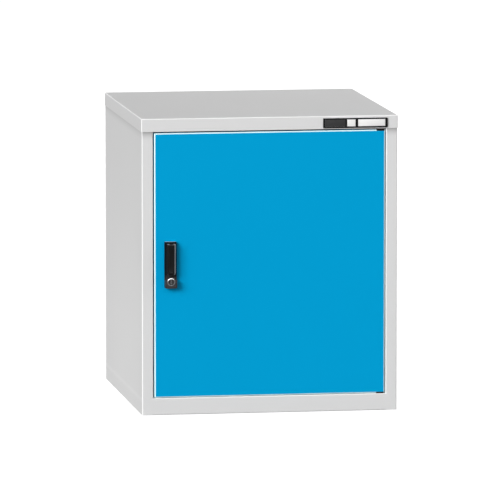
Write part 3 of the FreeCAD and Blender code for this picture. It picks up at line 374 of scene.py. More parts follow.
@dataclass(frozen=True)
class Moulding:
    """Dark moulded plastic with a fine eroded grain, a painted highlight on its right edges, and dust with a
    painted lighter top.

    Keys have scraped it grey round the lock.
    """

    name: str
    colour: Colour
    # Colour of the painted highlight on the right edges.
    edge_highlight_colour: Colour
    # Colour of the dust and painted lighter top on upward faces.
    dust_and_top_light_colour: Colour
    roughness: float
    specular: float
    # Side that the edges with a painted highlight turn to.
    highlight_side: Axis3 = (1.4, 0.0, 0.35)
    edge_polish: float = 0.08
    level_side: Axis3 = (0.0, 0.0, 8.0)
    level_base: float = -7.0
    scrape_colour: Colour = (0.048, 0.046, 0.048)
    scrape_radius: float = 27 * MM
    scrape_fade: float = 9 * MM
    scrape_wear: float = 0.8
    rub_size: float = 14 * MM
    dust_and_top_light_patchiness: float = 0.6
    rub_dulling: float = 0.15
    grain: Grain = Grain(0.35 * MM, 0.02 * MM, strength=0.4, detail=3.0)
    grain_share: float = 0.3

    def make(self) -> Material:
        """Build the material.

        Returns:
            The material.
        """
        graph = Graph(self.name)
        grain = graph.grain(self.grain)
        rubbed = graph.noise(self.rub_size)
        scrape = graph.near(Box.of("lock_cylinder").centre, self.scrape_radius, self.scrape_fade)
        # Painted highlight: rounded edges that turn right, and a little up, are mixed towards pale grey in place
        # of a reflection; less where keys scraped it.
        edge = graph.bends() * graph.turned_to(self.highlight_side, 0.0) * (1.0 - scrape * self.scrape_wear)
        # Dust and a painted lighter top: upward faces are mixed in patches towards pale grey, partly as dust,
        # partly as light from above; none where keys scraped it.
        level = graph.turned_to(self.level_side, self.level_base)
        dust_and_top_light = level * (1.0 + rubbed * self.dust_and_top_light_patchiness) * (1.0 - scrape)
        plain = graph.shaded(self.colour, 1.0 + grain * self.grain_share)
        scraped = graph.mix(scrape * (1.0 + rubbed), plain, self.scrape_colour)
        return graph.finish(
            Base_Color=graph.mix(dust_and_top_light, graph.mix(edge, scraped, self.edge_highlight_colour), self.dust_and_top_light_colour),
            Roughness=self.roughness + rubbed * self.rub_dulling - edge * self.edge_polish,
            Specular_IOR_Level=self.specular,
            Normal=graph.relief(grain, self.grain),
        )


@dataclass(frozen=True)
class Bloomed:
    """Plated steel or rubber: a fine grain, and a bloom that tints it in patches."""

    name: str
    colour: Colour
    tint: Colour
    roughness: float
    grain: Grain
    metallic: float = 1.0
    grain_dulling: float = 0.1
    bloom_size: float = 9 * MM
    bloom_detail: float = 3.0
    bloom_start: float = -0.15
    bloom_full: float = 0.2
    bloom_dulling: float = 0.12

    def make(self) -> Material:
        """Build the material.

        Returns:
            The material.
        """
        graph = Graph(self.name)
        grain = graph.grain(self.grain)
        bloom = graph.noise(self.bloom_size, self.bloom_detail)
        tinted = graph.rise(bloom, self.bloom_start, self.bloom_full)
        return graph.finish(
            Base_Color=graph.mix(tinted, self.colour, self.tint),
            Metallic=self.metallic,
            Roughness=self.roughness + bloom * self.bloom_dulling + grain * self.grain_dulling,
            Normal=graph.relief(grain, self.grain),
        )


@dataclass(frozen=True)
class Card:
    """Plain white card with paper fibres."""

    name: str
    colour: Colour
    roughness: float = 0.7
    specular: float = 0.2
    fibre: Grain = Grain(0.4 * MM, 0.01 * MM, strength=0.3, detail=4.0, scale=(0.3, 1.0, 1.0))
    fibre_share: float = 0.08
    fibre_dulling: float = 0.15

    def make(self) -> Material:
        """Build the material.

        Returns:
            The material.
        """
        graph = Graph(self.name)
        fibre = graph.grain(self.fibre)
        return graph.finish(
            Base_Color=graph.shaded(self.colour, 1.0 + fibre * self.fibre_share),
            Roughness=self.roughness + fibre * self.fibre_dulling,
            Specular_IOR_Level=self.specular,
            Normal=graph.relief(fibre, self.fibre),
        )


FINISHES = {
    # Grey paint: painted highlight on folds turned left and up, painted shadow under the cover's lip, painted
    # highlight line at the base.
    Slot.GREY_PAINT: PowderCoat(
        "light_grey_powder_coat", (0.74, 0.74, 0.74), (1.0, 1.0, 1.0), specular=0.3,
        highlight_side=(-1.4, 0.0, 1.4), highlight_base=0.0, lip_shadow_share=0.2, front_lip_shadow_share=0.5, base_highlight_share=0.055),
    # Blue paint: painted highlight on all its folds.
    Slot.BLUE_PAINT: PowderCoat(
        "light_blue_powder_coat", (0.0, 0.355, 0.68), (0.8, 1.0, 1.0), specular=0.04,
        highlight_side=(0.0, 0.0, 0.0), highlight_base=1.0),
    # Black plastic: painted highlight on its right edges, and dust with a painted lighter top.
    Slot.BLACK_PLASTIC: Moulding(
        "black_moulded_plastic", (0.008, 0.008, 0.0085), edge_highlight_colour=(0.46, 0.46, 0.47),
        dust_and_top_light_colour=(0.55, 0.55, 0.56), roughness=0.36, specular=0.22),
    Slot.CHROME: Bloomed(
        "polished_chrome", (0.62, 0.62, 0.63), (0.55, 0.56, 0.57), roughness=0.22,
        grain=Grain(0.4 * MM, 0.0, strength=0.3, scale=(1.0, 1.0, 0.06))),
    Slot.ZINC: Bloomed(
        "zinc_plated_steel", (0.60, 0.61, 0.62), (0.66, 0.64, 0.58), roughness=0.34,
        grain=Grain(0.4 * MM, 0.01 * MM, strength=0.3, scale=(1.0, 1.0, 0.06))),
    Slot.RUBBER: Bloomed(
        "black_rubber", (0.012, 0.012, 0.012), (0.03, 0.03, 0.032), roughness=0.75,
        grain=Grain(0.3 * MM, 0.02 * MM, strength=0.4), metallic=0.0, grain_dulling=0.0,
        bloom_size=6 * MM, bloom_start=-0.1, bloom_full=0.25, bloom_dulling=0.2),
    Slot.CARD: Card("plain_white_card", (0.9, 0.9, 0.89)),
}
# Dark trim for the label's film and the lock's dark disc of painted shade; a faint painted highlight on its right
# edges.
TRIM_FINISH = Moulding(
    "dark_grey_trim", (0.045, 0.045, 0.046), edge_highlight_colour=(0.06, 0.06, 0.061),
    dust_and_top_light_colour=(0.06, 0.06, 0.061), roughness=0.45, specular=0.16)


class Bench:
    """Modelling with operators. Each method leaves the piece in object mode, with its place in its mesh."""

    flat_angle = math.radians(32.0)
    facing_share = 0.9995
    tolerance = 0.05 * MM

    @staticmethod
    def clear() -> None:
        """Leave edit mode and deselect everything."""
        if bpy.context.mode != "OBJECT":
            bpy.ops.object.mode_set(mode="OBJECT")
        bpy.ops.object.select_all(action="DESELECT")

    def hold(self, piece: Piece) -> None:
        """Make one piece active, and the only one selected.

        Args:
            piece: The piece.
        """
        self.clear()
        bpy.context.view_layer.objects.active = piece
        piece.select_set(True)

    @staticmethod
    def settle(name: str) -> Piece:
        """Name the primitive that was just added, and move its place into its mesh.

        Args:
            name: The piece's name.

        Returns:
            The piece.
        """
        piece = bpy.context.active_object
        piece.name = piece.data.name = name
        bpy.ops.object.transform_apply(location=True, rotation=True, scale=True)
        return piece

    @contextmanager
    def editing(self, piece: Piece, kind: Pick, chosen: Test) -> Iterator[None]:
        """Open a piece in edit mode with some of its faces or edges selected.

        Args:
            piece: The piece to edit.
            kind: Whether faces or edges are selected.
            chosen: Test that picks the faces or edges.

        Yields:
            Nothing; operators act on the selection meanwhile.
        """
        self.hold(piece)
        bpy.ops.object.mode_set(mode="EDIT")
        bpy.ops.mesh.select_mode(type=kind.value)
        bpy.ops.mesh.select_all(action="DESELECT")
        mesh = bmesh.from_edit_mesh(piece.data)
        mesh.normal_update()
        for item in mesh.faces if kind is Pick.FACE else mesh.edges:
            if chosen(item):
                item.select_set(True)
        bmesh.update_edit_mesh(piece.data)
        yield
        bpy.ops.object.mode_set(mode="OBJECT")

    def block(self, name: str, low: Sequence[float], high: Sequence[float]) -> Piece:
        """A block between two corners, as a start for cutting and rounding.

        Args:
            name: The piece's name.
            low: Its lowest corner.
            high: Its highest corner.

        Returns:
            The block.
        """
        low, high = Vector(low), Vector(high)
        self.clear()
        bpy.ops.mesh.primitive_cube_add(size=1.0, location=(low + high) / 2, scale=high - low)
        return self.settle(name)

    def turned(self, name: str, centre: Sequence[float], axis: Axis, rings: Sequence[Ring],
               sides: int = 64) -> Piece:
        """A turned piece: a cone whose end is extruded and resized from ring to ring.

        Args:
            name: The piece's name.
            centre: The point that distances are counted from.
            axis: The direction of its axis.
            rings: Radius and distance along the axis of each ring, in order.
            sides: Number of flats round it.

        Returns:
            The piece.
        """
        centre, direction = Vector(centre), axis.vector
        (first_radius, start), (radius, reach) = rings[:2]
        self.clear()
        bpy.ops.mesh.primitive_cone_add(
            vertices=sides, radius1=first_radius, radius2=radius, depth=reach - start,
            location=centre + direction * (start + reach) / 2,
            rotation=direction.to_track_quat("Z", "Y").to_euler())
        piece = self.settle(name)
        end = centre + direction * reach
        with self.editing(piece, Pick.FACE, lambda face: face.normal.dot(direction) > self.facing_share
                          and (face.calc_center_median() - end).length < radius / 2):
            for next_radius, distance in rings[2:]:
                bpy.ops.mesh.extrude_region_move(
                    TRANSFORM_OT_translate={"value": direction * (distance - reach)})
                share = next_radius / radius
                bpy.ops.transform.resize(value=(share, share, share),
                                         center_override=centre + direction * distance)
                radius, reach = next_radius, distance
        return piece

    def work(self, piece: Piece, kind: str, **settings: Any) -> None:
        """Add one modifier to a piece and apply it.

        Args:
            piece: The piece.
            kind: The modifier's type.
            **settings: The modifier's settings.
        """
        modifier = piece.modifiers.new(kind.lower(), kind)
        for name, setting in settings.items():
            setattr(modifier, name, setting)
        self.hold(piece)
        bpy.ops.object.modifier_apply(modifier=modifier.name)

    def join(self, piece: Piece, how: Join, *tools: Piece) -> Piece:
        """Add solids to a piece, or cut them out of it.

        Args:
            piece: The piece that stays.
            how: Whether the tools are added or cut out.
            *tools: The solids, which are used up.

        Returns:
            The piece.
        """
        for tool in tools:
            self.work(piece, "BOOLEAN", operation=how.value, solver="EXACT", object=tool)
            bpy.data.objects.remove(tool, do_unlink=True)
        return piece

    def round_edges(self, piece: Piece, width: float, chosen: Test, steps: int = 6) -> None:
        """Round the chosen edges of a piece to a width, in a number of flats."""
        with self.editing(piece, Pick.EDGE, chosen):
            bpy.ops.mesh.bevel(offset=width, offset_type="OFFSET", segments=steps, affect="EDGES")

    def sink(self, piece: Piece, axis: Axis, margin: float, depth: float, chosen: Test) -> None:
        """Inset the chosen faces and push them in.

        Args:
            piece: The piece.
            axis: The direction that the faces look in.
            margin: Width of the rim that is left standing.
            depth: How far the faces are pushed in.
            chosen: Test that picks the faces.
        """
        with self.editing(piece, Pick.FACE, chosen):
            bpy.ops.mesh.inset(thickness=margin, depth=0.0)
            bpy.ops.mesh.extrude_region_move(TRANSFORM_OT_translate={"value": axis.vector * -depth})

    def soften(self, piece: Piece, width: float, steps: int = 2) -> None:
        """Take the sharpness off every hard edge, and shade the piece smoothly between them.

        Args:
            piece: The piece.
            width: Width of the softened edges.
            steps: How many flats each has.
        """
        self.work(piece, "BEVEL", width=width, segments=steps, limit_method="ANGLE", angle_limit=self.flat_angle)
        self.hold(piece)
        bpy.ops.object.shade_smooth_by_angle(angle=self.flat_angle)

    def copy(self, piece: Piece, name: str, shift: Vector) -> Piece:
        """A copy of a piece, with a mesh of its own, at another place.

        Args:
            piece: The piece that is copied.
            name: The copy's name.
            shift: From the piece to the copy.

        Returns:
            The copy.
        """
        twin = piece.copy()
        twin.data = piece.data.copy()
        twin.name = twin.data.name = name
        bpy.context.scene.collection.objects.link(twin)
        twin.data.transform(Matrix.Translation(shift))
        return twin


BENCH = Bench()


@dataclass
class SubAssembly:
    """Pieces that ride on the cabinet's bodies, with the finishes that they take."""

    materials: Dict[Slot, Material]
    trim: Material

    def place(self, piece: Piece, body: str, slot: Slot, node: str, material: Optional[Material] = None) -> None:
        """Dress a finished piece and let it ride on a body.

        Args:
            piece: The finished piece.
            body: The body that it moves with.
            slot: The slot that it belongs to.
            node: The CAD node that it stands for.
            material: Its finish, or the slot's where left out.
        """
        piece.data.materials.clear()
        piece.data.materials.append(material or self.materials[slot])
        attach(piece, body)
        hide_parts(node)
        LOG.info("placed %s on %s", piece.name, body)


def faces_towards(axis: Axis, level: float) -> Test:
    """A test for faces that look along an axis and lie at a level on it."""
    direction = axis.vector
    return lambda face: (face.normal.dot(direction) > Bench.facing_share
                         and abs(face.calc_center_median().dot(direction) - level) < Bench.tolerance)


def edges_at(axis: Axis, level: float) -> Test:
    """A test for edges that lie wholly at a level along an axis."""
    direction = axis.vector
    return lambda edge: all(abs(corner.co.dot(direction) - level) < Bench.tolerance for corner in edge.verts)


def edges_along(axis: Axis) -> Test:
    """A test for straight edges that run along an axis."""
    direction = axis.vector
    return lambda edge: (abs((edge.verts[1].co - edge.verts[0].co).normalized().dot(direction))
                         > Bench.facing_share)


def corners_at(axis: Axis, level: float) -> Test:
    """A test for edges that run from front to back and lie at a level along an axis."""
    run, lie = edges_along(Axis.BACK), edges_at(axis, level)
    return lambda edge: run(edge) and lie(edge)


def dome(radius: float, flat: float, start: float, end: float, steps: int = 5) -> List[Ring]:
    """The rings of a dome, from its rim to just short of the flat at its end.

    Args:
        radius: The rim's radius.
        flat: The flat's radius.
        start: The rim's distance along the axis.
        end: The flat's distance along the axis.
        steps: How many rings it has.

    Returns:
        Radius and distance of each ring.
    """
    turns = [math.radians(90.0 * step / steps) for step in range(steps)]
    return [(flat + (radius - flat) * math.cos(turn), start + (end - start) * math.sin(turn)) for turn in turns]


@dataclass
class SwingHandle(SubAssembly):
    """Moulded handle on the door: a dished base with its lock housing, and the lever over it."""

    plate_gap: float = 0.5 * MM
    corner: float = 3.0 * MM
    rim: float = 1.6 * MM
    dish: float = 1.0 * MM
    shoulder_rise: float = 5.0 * MM
    boss_radius: float = 12.5 * MM
    bore_radius: float = 9.05 * MM
    tongue_half: float = 3.4 * MM
    tongue_room: float = 0.4 * MM
    hub_radius: float = 8.4 * MM
    edge: float = 1.0 * MM
    edge_steps: int = 3
    lever_edge: float = 4.5 * MM
    lever_softness: float = 0.3 * MM
    end_flat: float = 0.1 * MM
    end_steps: int = 16
    catch_gauge: float = 2.7 * MM
    catch_length: float = 4.5 * MM
    panel_half: float = 6.5 * MM
    panel_rise: float = 14.0 * MM
    panel_drop: float = 26.0 * MM
    panel_corner: float = 4.0 * MM
    panel_depth: float = 0.6 * MM
    fork_half: float = 5.3 * MM
    fork_depth: float = 12.3 * MM
    fork_drop: float = 10.0 * MM
    barrel_radius: float = 6.5 * MM
    pin_bore: float = 2.55 * MM
    pin_sides: int = 32
    lift_angle: float = math.radians(35.0)

    def __post_init__(self) -> None:
        """Read the places that the handle's own nodes give."""
        self.base = Box.of("handle_base")
        self.lever = Box.of("lever")
        self.pin = Box.of("lever_pin").centre
        self.lock = Box.of("lock_cylinder").centre
        self.tongue = Box.of("lock_tongue")
        self.plate_front = self.lever.high.y + self.plate_gap

    def build(self) -> None:
        """Model the base and the lever."""
        self.place(self.make_base(), "door", Slot.BLACK_PLASTIC, "handle_base")
        self.place(self.make_lever(), "lever", Slot.BLACK_PLASTIC, "lever")

    def make_base(self) -> Piece:
        """The base plate with a shallow dish under the lever, and the arched housing of the lock.

        Returns:
            The base.
        """
        low, high = self.base.low, self.base.high
        plate = BENCH.block("handle_base_moulding", (low.x, self.plate_front, low.z), high)
        BENCH.round_edges(plate, self.corner, edges_along(Axis.BACK))
        BENCH.sink(plate, Axis.FORWARD, self.rim, self.dish, faces_towards(Axis.FORWARD, -self.plate_front))
        shoulder = self.lock.z + self.shoulder_rise
        buried = high.y - self.edge
        housing = BENCH.block("housing", low, (high.x, buried, shoulder))
        BENCH.round_edges(housing, self.corner, corners_at(Axis.UP, low.z))
        lock_front = (self.lock.x, low.y, self.lock.z)
        boss_rings = ((self.boss_radius, 0.0), (self.boss_radius, buried - low.y))
        boss = BENCH.turned("boss", lock_front, Axis.BACK, boss_rings)
        BENCH.join(plate, Join.ADD, BENCH.join(housing, Join.ADD, boss))
        bore_rings = ((self.bore_radius, -self.edge), (self.bore_radius, buried - low.y - self.edge))
        bore = BENCH.turned("bore", lock_front, Axis.BACK, bore_rings)
        BENCH.join(plate, Join.CUT, bore, *self.tongue_cutters())
        BENCH.soften(plate, self.edge, self.edge_steps)
        return plate

    def tongue_cutters(self) -> List[Piece]:
        """The slot that the lock's tongue swings in, from the right side to the top of the boss.

        Returns:
            The solids to cut out.
        """
        back = self.tongue.high.y + self.tongue_room
        front = self.tongue.low.y - self.tongue_room
        beyond = self.base.size.x
        slot = BENCH.block("slot", (self.lock.x - self.tongue_half, front, self.lock.z - self.tongue_half),
                           (self.lock.x + beyond, back, self.lock.z + beyond))
        hub = BENCH.turned("hub", (self.lock.x, front, self.lock.z), Axis.BACK,
                           ((self.hub_radius, 0.0), (self.hub_radius, back - front)))
        return [slot, hub]

    def make_lever(self) -> Piece:
        """The lever: round at its lower end, sloped and forked at its upper end, with a sunk grip panel.

        Returns:
            The lever.
        """
        low, high = self.lever.low, self.lever.high
        half = self.lever.size.x / 2
        middle = self.lever.centre.x
        over = 2 * half
        lever = BENCH.block("lever_moulding", low, high)
        BENCH.round_edges(lever, half - self.end_flat, corners_at(Axis.UP, low.z), self.end_steps)
        catch = BENCH.block("catch", (low.x - over, low.y - over, low.z - over),
                            (high.x + over, high.y - self.catch_gauge, low.z + self.catch_length))
        BENCH.join(lever, Join.CUT, catch)
        slope = Vector((0.0, math.cos(self.lift_angle), math.sin(self.lift_angle)))
        with BENCH.editing(lever, Pick.FACE, lambda face: True):
            bpy.ops.mesh.bisect(plane_co=self.pin + slope * self.barrel_radius, plane_no=slope,
                                use_fill=True, clear_outer=True)
        BENCH.round_edges(lever, self.lever_edge, edges_at(Axis.FORWARD, -low.y))
        panel = BENCH.block("panel", (middle - self.panel_half, low.y - over, low.z + self.panel_rise),
                            (middle + self.panel_half, low.y + self.panel_depth, high.z - self.panel_drop))
        BENCH.round_edges(panel, self.panel_corner, edges_along(Axis.BACK))
        fork_floor = self.pin.z - self.fork_drop
        fork = BENCH.block("fork", (middle - self.fork_half, high.y - self.fork_depth, fork_floor),
                           (middle + self.fork_half, high.y + over, high.z + over))
        bore = BENCH.turned("bore", (low.x - over, self.pin.y, self.pin.z), Axis.RIGHT,
                            ((self.pin_bore, 0.0), (self.pin_bore, 3 * over)), self.pin_sides)
        BENCH.join(lever, Join.CUT, panel, fork, bore)
        BENCH.soften(lever, self.lever_softness)
        return lever


@dataclass
class LockFace(SubAssembly):
    """Chromed lock ring in the housing, and in its well the key plug with a bar across a dark disc of painted
    shade.
    """

    ring_radius: float = 11.5 * MM
    ring_sides: int = 72
    barrel_radius: float = 9.0 * MM
    rim_height: float = 1.6 * MM
    rim_wall: float = 0.2 * MM
    chamfer_run: float = 3.1 * MM
    lip: float = 0.5 * MM
    well_depth: float = 4.0 * MM
    plug_radius: float = 6.0 * MM
    running_fit: float = 0.05 * MM
    # Play and thickness of the dark disc that paints the shade in the well.
    shade_disc_play: float = 0.15 * MM
    shade_disc_gauge: float = 1.2 * MM
    bar_half: float = 1.7 * MM
    bar_sink: float = 0.6 * MM
    keyway_width: float = 0.9 * MM
    keyway_height: float = 7.0 * MM
    keyway_depth: float = 3.0 * MM
    edge: float = 0.25 * MM

    def __post_init__(self) -> None:
        """Read the places of the lock's nodes."""
        self.cylinder = Box.of("lock_cylinder")
        self.plug = Box.of("key_plug")
        self.well_radius = self.ring_radius - self.chamfer_run - self.lip
        self.well_floor = self.cylinder.low.y + self.well_depth

    def build(self) -> None:
        """Model the ring, the plug and the dark disc of painted shade in the well."""
        self.place(self.make_ring(), "door", Slot.CHROME, "lock_cylinder")
        self.place(self.make_plug(), "key", Slot.CHROME, "key_plug")
        # A dark disc in the lock's well paints the shade that lies deep in it.
        self.place(self.make_well_shade_disc(), "key", Slot.BLACK_PLASTIC, "key_plug", material=self.trim)

    def make_ring(self) -> Piece:
        """The ring: a barrel in the housing, a chamfered rim, and a well with the plug's bore in its floor.

        Returns:
            The ring.
        """
        middle = self.cylinder.centre
        back = self.cylinder.high.y
        length = self.cylinder.size.y
        seat = length - self.rim_height
        floor = back - self.well_floor
        bore = self.plug_radius + self.running_fit
        rings = ((self.barrel_radius, 0.0), (self.barrel_radius, seat), (self.ring_radius, seat),
                 (self.ring_radius, seat + self.rim_wall), (self.ring_radius - self.chamfer_run, length),
                 (self.well_radius, length), (self.well_radius, floor), (bore, floor), (bore, self.edge))
        ring = BENCH.turned("lock_ring", (middle.x, back, middle.z), Axis.FORWARD, rings, self.ring_sides)
        BENCH.soften(ring, self.edge)
        return ring

    def make_plug(self) -> Piece:
        """The plug: round up to the well's floor, then an upright bar with the keyway in it.

        Returns:
            The plug.
        """
        middle, back = self.plug.centre, self.plug.high.y
        front = self.plug.low.y + self.bar_sink
        plug = BENCH.turned("lock_plug", (middle.x, back, middle.z), Axis.FORWARD,
                            ((self.plug_radius, 0.0), (self.plug_radius, back - front)))
        beyond = 2 * self.plug_radius
        for left, right in ((-beyond, -self.bar_half), (self.bar_half, beyond)):
            flank = BENCH.block("flank", (middle.x + left, front - beyond, middle.z - beyond),
                                (middle.x + right, self.well_floor, middle.z + beyond))
            BENCH.join(plug, Join.CUT, flank)
        half = Vector((self.keyway_width / 2, 0.0, self.keyway_height / 2))
        keyway = BENCH.block("keyway", Vector((middle.x, front - self.edge, middle.z)) - half,
                             Vector((middle.x, front + self.keyway_depth, middle.z)) + half)
        BENCH.join(plug, Join.CUT, keyway)
        BENCH.soften(plug, self.edge)
        return plug

    def make_well_shade_disc(self) -> Piece:
        """The dark disc of painted shade that closes the well round the plug's bar, with a slot for the bar.

        Returns:
            The disc.
        """
        middle = self.plug.centre
        radius = self.well_radius - self.shade_disc_play
        shade_disc = BENCH.turned("lock_well_shade_disc", (middle.x, self.well_floor, middle.z), Axis.FORWARD,
                               ((radius, self.running_fit), (radius, self.shade_disc_gauge)))
        play = self.bar_half + self.shade_disc_play
        reach = self.plug_radius + self.shade_disc_play
        slot = BENCH.block("slot", (middle.x - play, self.well_floor - 2 * self.shade_disc_gauge, middle.z - reach),
                           (middle.x + play, self.well_floor + self.shade_disc_gauge, middle.z + reach))
        BENCH.join(shade_disc, Join.CUT, slot)
        BENCH.soften(shade_disc, self.edge)
        return shade_disc


@dataclass
class LabelHolder(SubAssembly):
    """Black holder on the cover's front lip: a plain dark field, a small square card and a long card."""

    corner: float = 3.5 * MM
    rim: float = 4.0 * MM
    field_start: float = 5.5 * MM
    field_length: float = 58.0 * MM
    field_depth: float = 0.6 * MM
    film_gauge: float = 0.3 * MM
    square_start: float = 68.5 * MM
    square_length: float = 24.0 * MM
    bar: float = 7.0 * MM
    recess: float = 1.4 * MM
    edge: float = 0.4 * MM
    card_gauge: float = 0.8 * MM
    edge_share: float = 0.25
    play: float = 0.2 * MM

    def __post_init__(self) -> None:
        """Read the holder's place."""
        self.holder = Box.of("label_holder")
        left, right = self.holder.low.x, self.holder.high.x
        square = left + self.square_start
        card = square + self.square_length + self.bar
        self.windows = ((square, square + self.square_length), (card, right - self.bar))
        self.field = (left + self.field_start, left + self.field_start + self.field_length)

    def build(self) -> None:
        """Model the holder, its cards and the film in its field."""
        self.place(self.make_holder(), "carcass", Slot.BLACK_PLASTIC, "label_holder")
        for name, (left, right) in zip(("square_label_card", "long_label_card"), self.windows):
            card = self.make_insert(name, left, right, self.recess, self.card_gauge)
            self.place(card, "carcass", Slot.CARD, "label_cards")
        film = self.make_insert("label_field_film", *self.field, self.field_depth, self.film_gauge)
        self.place(film, "carcass", Slot.BLACK_PLASTIC, "label_holder", material=self.trim)

    def recess_tool(self, left: float, right: float, depth: float) -> Piece:
        """A block that cuts one window into the holder's front."""
        low, high = self.holder.low, self.holder.high
        return BENCH.block("window", (left, low.y - self.recess, low.z + self.rim),
                           (right, low.y + depth, high.z - self.rim))

    def make_holder(self) -> Piece:
        """The holder, rounded at its right end, with its windows.

        Returns:
            The holder.
        """
        low, high = self.holder.low, self.holder.high
        holder = BENCH.block("label_holder_moulding", low, high)
        BENCH.round_edges(holder, self.corner, corners_at(Axis.RIGHT, high.x))
        BENCH.join(holder, Join.CUT, self.recess_tool(*self.field, self.field_depth),
                   *(self.recess_tool(left, right, self.recess) for left, right in self.windows))
        BENCH.soften(holder, self.edge)
        return holder

    def make_insert(self, name: str, left: float, right: float, depth: float, gauge: float) -> Piece:
        """One plain card or film that lies in its window.

        Args:
            name: The insert's name.
            left: The window's left end.
            right: The window's right end.
            depth: The window's depth.
            gauge: The insert's thickness.

        Returns:
            The insert.
        """
        low, high = self.holder.low, self.holder.high
        floor = low.y + depth
        insert = BENCH.block(name, (left + self.play, floor - gauge, low.z + self.rim + self.play),
                             (right - self.play, floor, high.z - self.rim - self.play))
        BENCH.soften(insert, gauge * self.edge_share)
        return insert


@dataclass
class Fasteners(SubAssembly):
    """Button-head screws with a hexagon socket, each the size of its node's."""

    shank_radius: float = 2.5 * MM
    tip: float = 0.4 * MM
    head_height: float = 2.0 * MM
    wall_share: float = 0.3
    flat_share: float = 0.45
    socket_radius: float = 1.75 * MM
    socket_depth: float = 1.2 * MM
    socket_rim: float = 0.35 * MM
    socket_sides: int = 6
    edge: float = 0.1 * MM
    sides: int = 40

    def build(self) -> None:
        """Model the screws of the cover, the handle and the cam."""
        radius = Box.of("cover_screws").size.z / 2
        self.pair("cover_screw", "cover_screws", "carcass", Axis.RIGHT, radius)
        self.pair("handle_screw", "handle_screws", "door", Axis.UP, radius)
        cam = Box.of("cam_screw")
        middle = Vector((cam.centre.x, cam.high.y, cam.centre.z))
        screw = self.make_screw("cam_socket_screw", middle, cam.size.y, radius)
        self.place(screw, "spindle", Slot.ZINC, "cam_screw")

    def pair(self, name: str, node: str, body: str, axis: Axis, margin: float) -> None:
        """Two like screws.

        Args:
            name: What the screws are called.
            node: The node that they stand for.
            body: The body that they ride on.
            axis: The direction from the second to the first.
            margin: From the middle of each screw to the node's end.
        """
        box, direction = Box.of(node), axis.vector
        span = box.size.dot(direction) - 2 * margin
        head = Vector((box.centre.x, box.high.y, box.centre.z)) + direction * span / 2
        first = self.make_screw(f"{name}_1", head, box.size.y, min(box.size.x, box.size.z) / 2)
        second = BENCH.copy(first, f"{name}_2", direction * -span)
        for screw in (first, second):
            self.place(screw, body, Slot.ZINC, node)

    def make_screw(self, name: str, head: Vector, length: float, radius: float) -> Piece:
        """One screw whose head looks back along +Y.

        Args:
            name: The screw's name.
            head: The middle of its head's end.
            length: Its whole length.
            radius: Its head's radius.

        Returns:
            The screw.
        """
        seat = length - self.head_height
        wall = seat + self.wall_share * self.head_height
        rings = ((self.shank_radius - self.tip, 0.0), (self.shank_radius, self.tip), (self.shank_radius, seat),
                 (radius, seat), *dome(radius, self.flat_share * radius, wall, length),
                 (self.socket_radius + self.socket_rim, length))
        screw = BENCH.turned(name, head - Axis.BACK.vector * length, Axis.BACK, rings, self.sides)
        bore = ((self.socket_radius, -self.tip), (self.socket_radius, self.socket_depth))
        socket = BENCH.turned("socket", head, Axis.FORWARD, bore, self.socket_sides)
        BENCH.join(screw, Join.CUT, socket)
        BENCH.soften(screw, self.edge)
        return screw


@dataclass
class DoorBuffers(SubAssembly):
    """Domed rubber buffers on the door stop."""

    count: int = 3
    wall_share: float = 0.5
    flat_share: float = 0.5
    edge: float = 0.15 * MM
    sides: int = 32

    def build(self) -> None:
        """Model one buffer and copy it up the door stop."""
        box = Box.of("door_buffers")
        radius, height = box.size.x / 2, box.size.y
        flat = self.flat_share * radius
        rings = ((radius, 0.0), *dome(radius, flat, self.wall_share * height, height), (flat, height))
        foot = Vector((box.centre.x, box.high.y, box.low.z + radius))
        first = BENCH.turned("door_buffer_1", foot, Axis.FORWARD, rings, self.sides)
        BENCH.soften(first, self.edge)
        step = Axis.UP.vector * (box.size.z - 2 * radius) / (self.count - 1)
        copies = [BENCH.copy(first, f"door_buffer_{number + 1}", step * number) for number in range(1, self.count)]
        for buffer in (first, *copies):
            self.place(buffer, "carcass", Slot.RUBBER, "door_buffers")


def aim(thing: Piece, place: Point, target: Point) -> None:
    """Put a light or a camera in the scene, facing a point.

    Args:
        thing: The light or camera.
        place: Where it stands.
        target: The point that it faces.
    """
    thing.location = place
    thing.rotation_euler = (Vector(target) - Vector(place)).to_track_quat("-Z", "Y").to_euler()
    bpy.context.scene.collection.objects.link(thing)


@dataclass(frozen=True)
class SoftLight:
    """One soft light: where its middle hangs, its width and height, its power in watts and the point it faces."""

    name: str
    place: Point
    size: Tuple[float, float]
    power: float
    role: Role
    target: Point = (0.0, 0.0, 0.4)

    def hang(self) -> None:
        """Hang the light in the studio."""
        data = bpy.data.lights.new(self.name, "AREA")
        data.shape = "RECTANGLE"
        data.size, data.size_y = self.size
        data.energy = self.power
        light = bpy.data.objects.new(self.name, data)
        light.visible_camera = False
        light.visible_diffuse, light.visible_glossy = self.role.value
        aim(light, self.place, self.target)


LIGHTS = (
    SoftLight("overhead_light", (-2.5, -14.2, 11.7), (24.0, 3.6), 620.0, Role.FULL),
    SoftLight("overhead_sheen", (2.0, -14.2, 11.7), (28.0, 3.6), 960.0, Role.SHEEN),
    SoftLight("front_left_light", (-24.8, -23.6, 12.8), (21.6, 13.0), 12880.0, Role.FILL),
    SoftLight("front_left_sheen", (-10.0, -13.8, 7.6), (12.5, 7.0), 600.0, Role.SHEEN),
    SoftLight("right_light", (7.0, -0.9, 3.6), (3.0, 7.0), 180.0, Role.FULL),
    SoftLight("rear_right_light", (5.0, 7.0, 3.0), (5.0, 4.0), 690.0, Role.FILL),
    SoftLight("left_low_light", (-0.95, 0.0, 0.1), (1.0, 0.1), 0.6, Role.FILL, target=(0.0, 0.0, 0.1)),
)


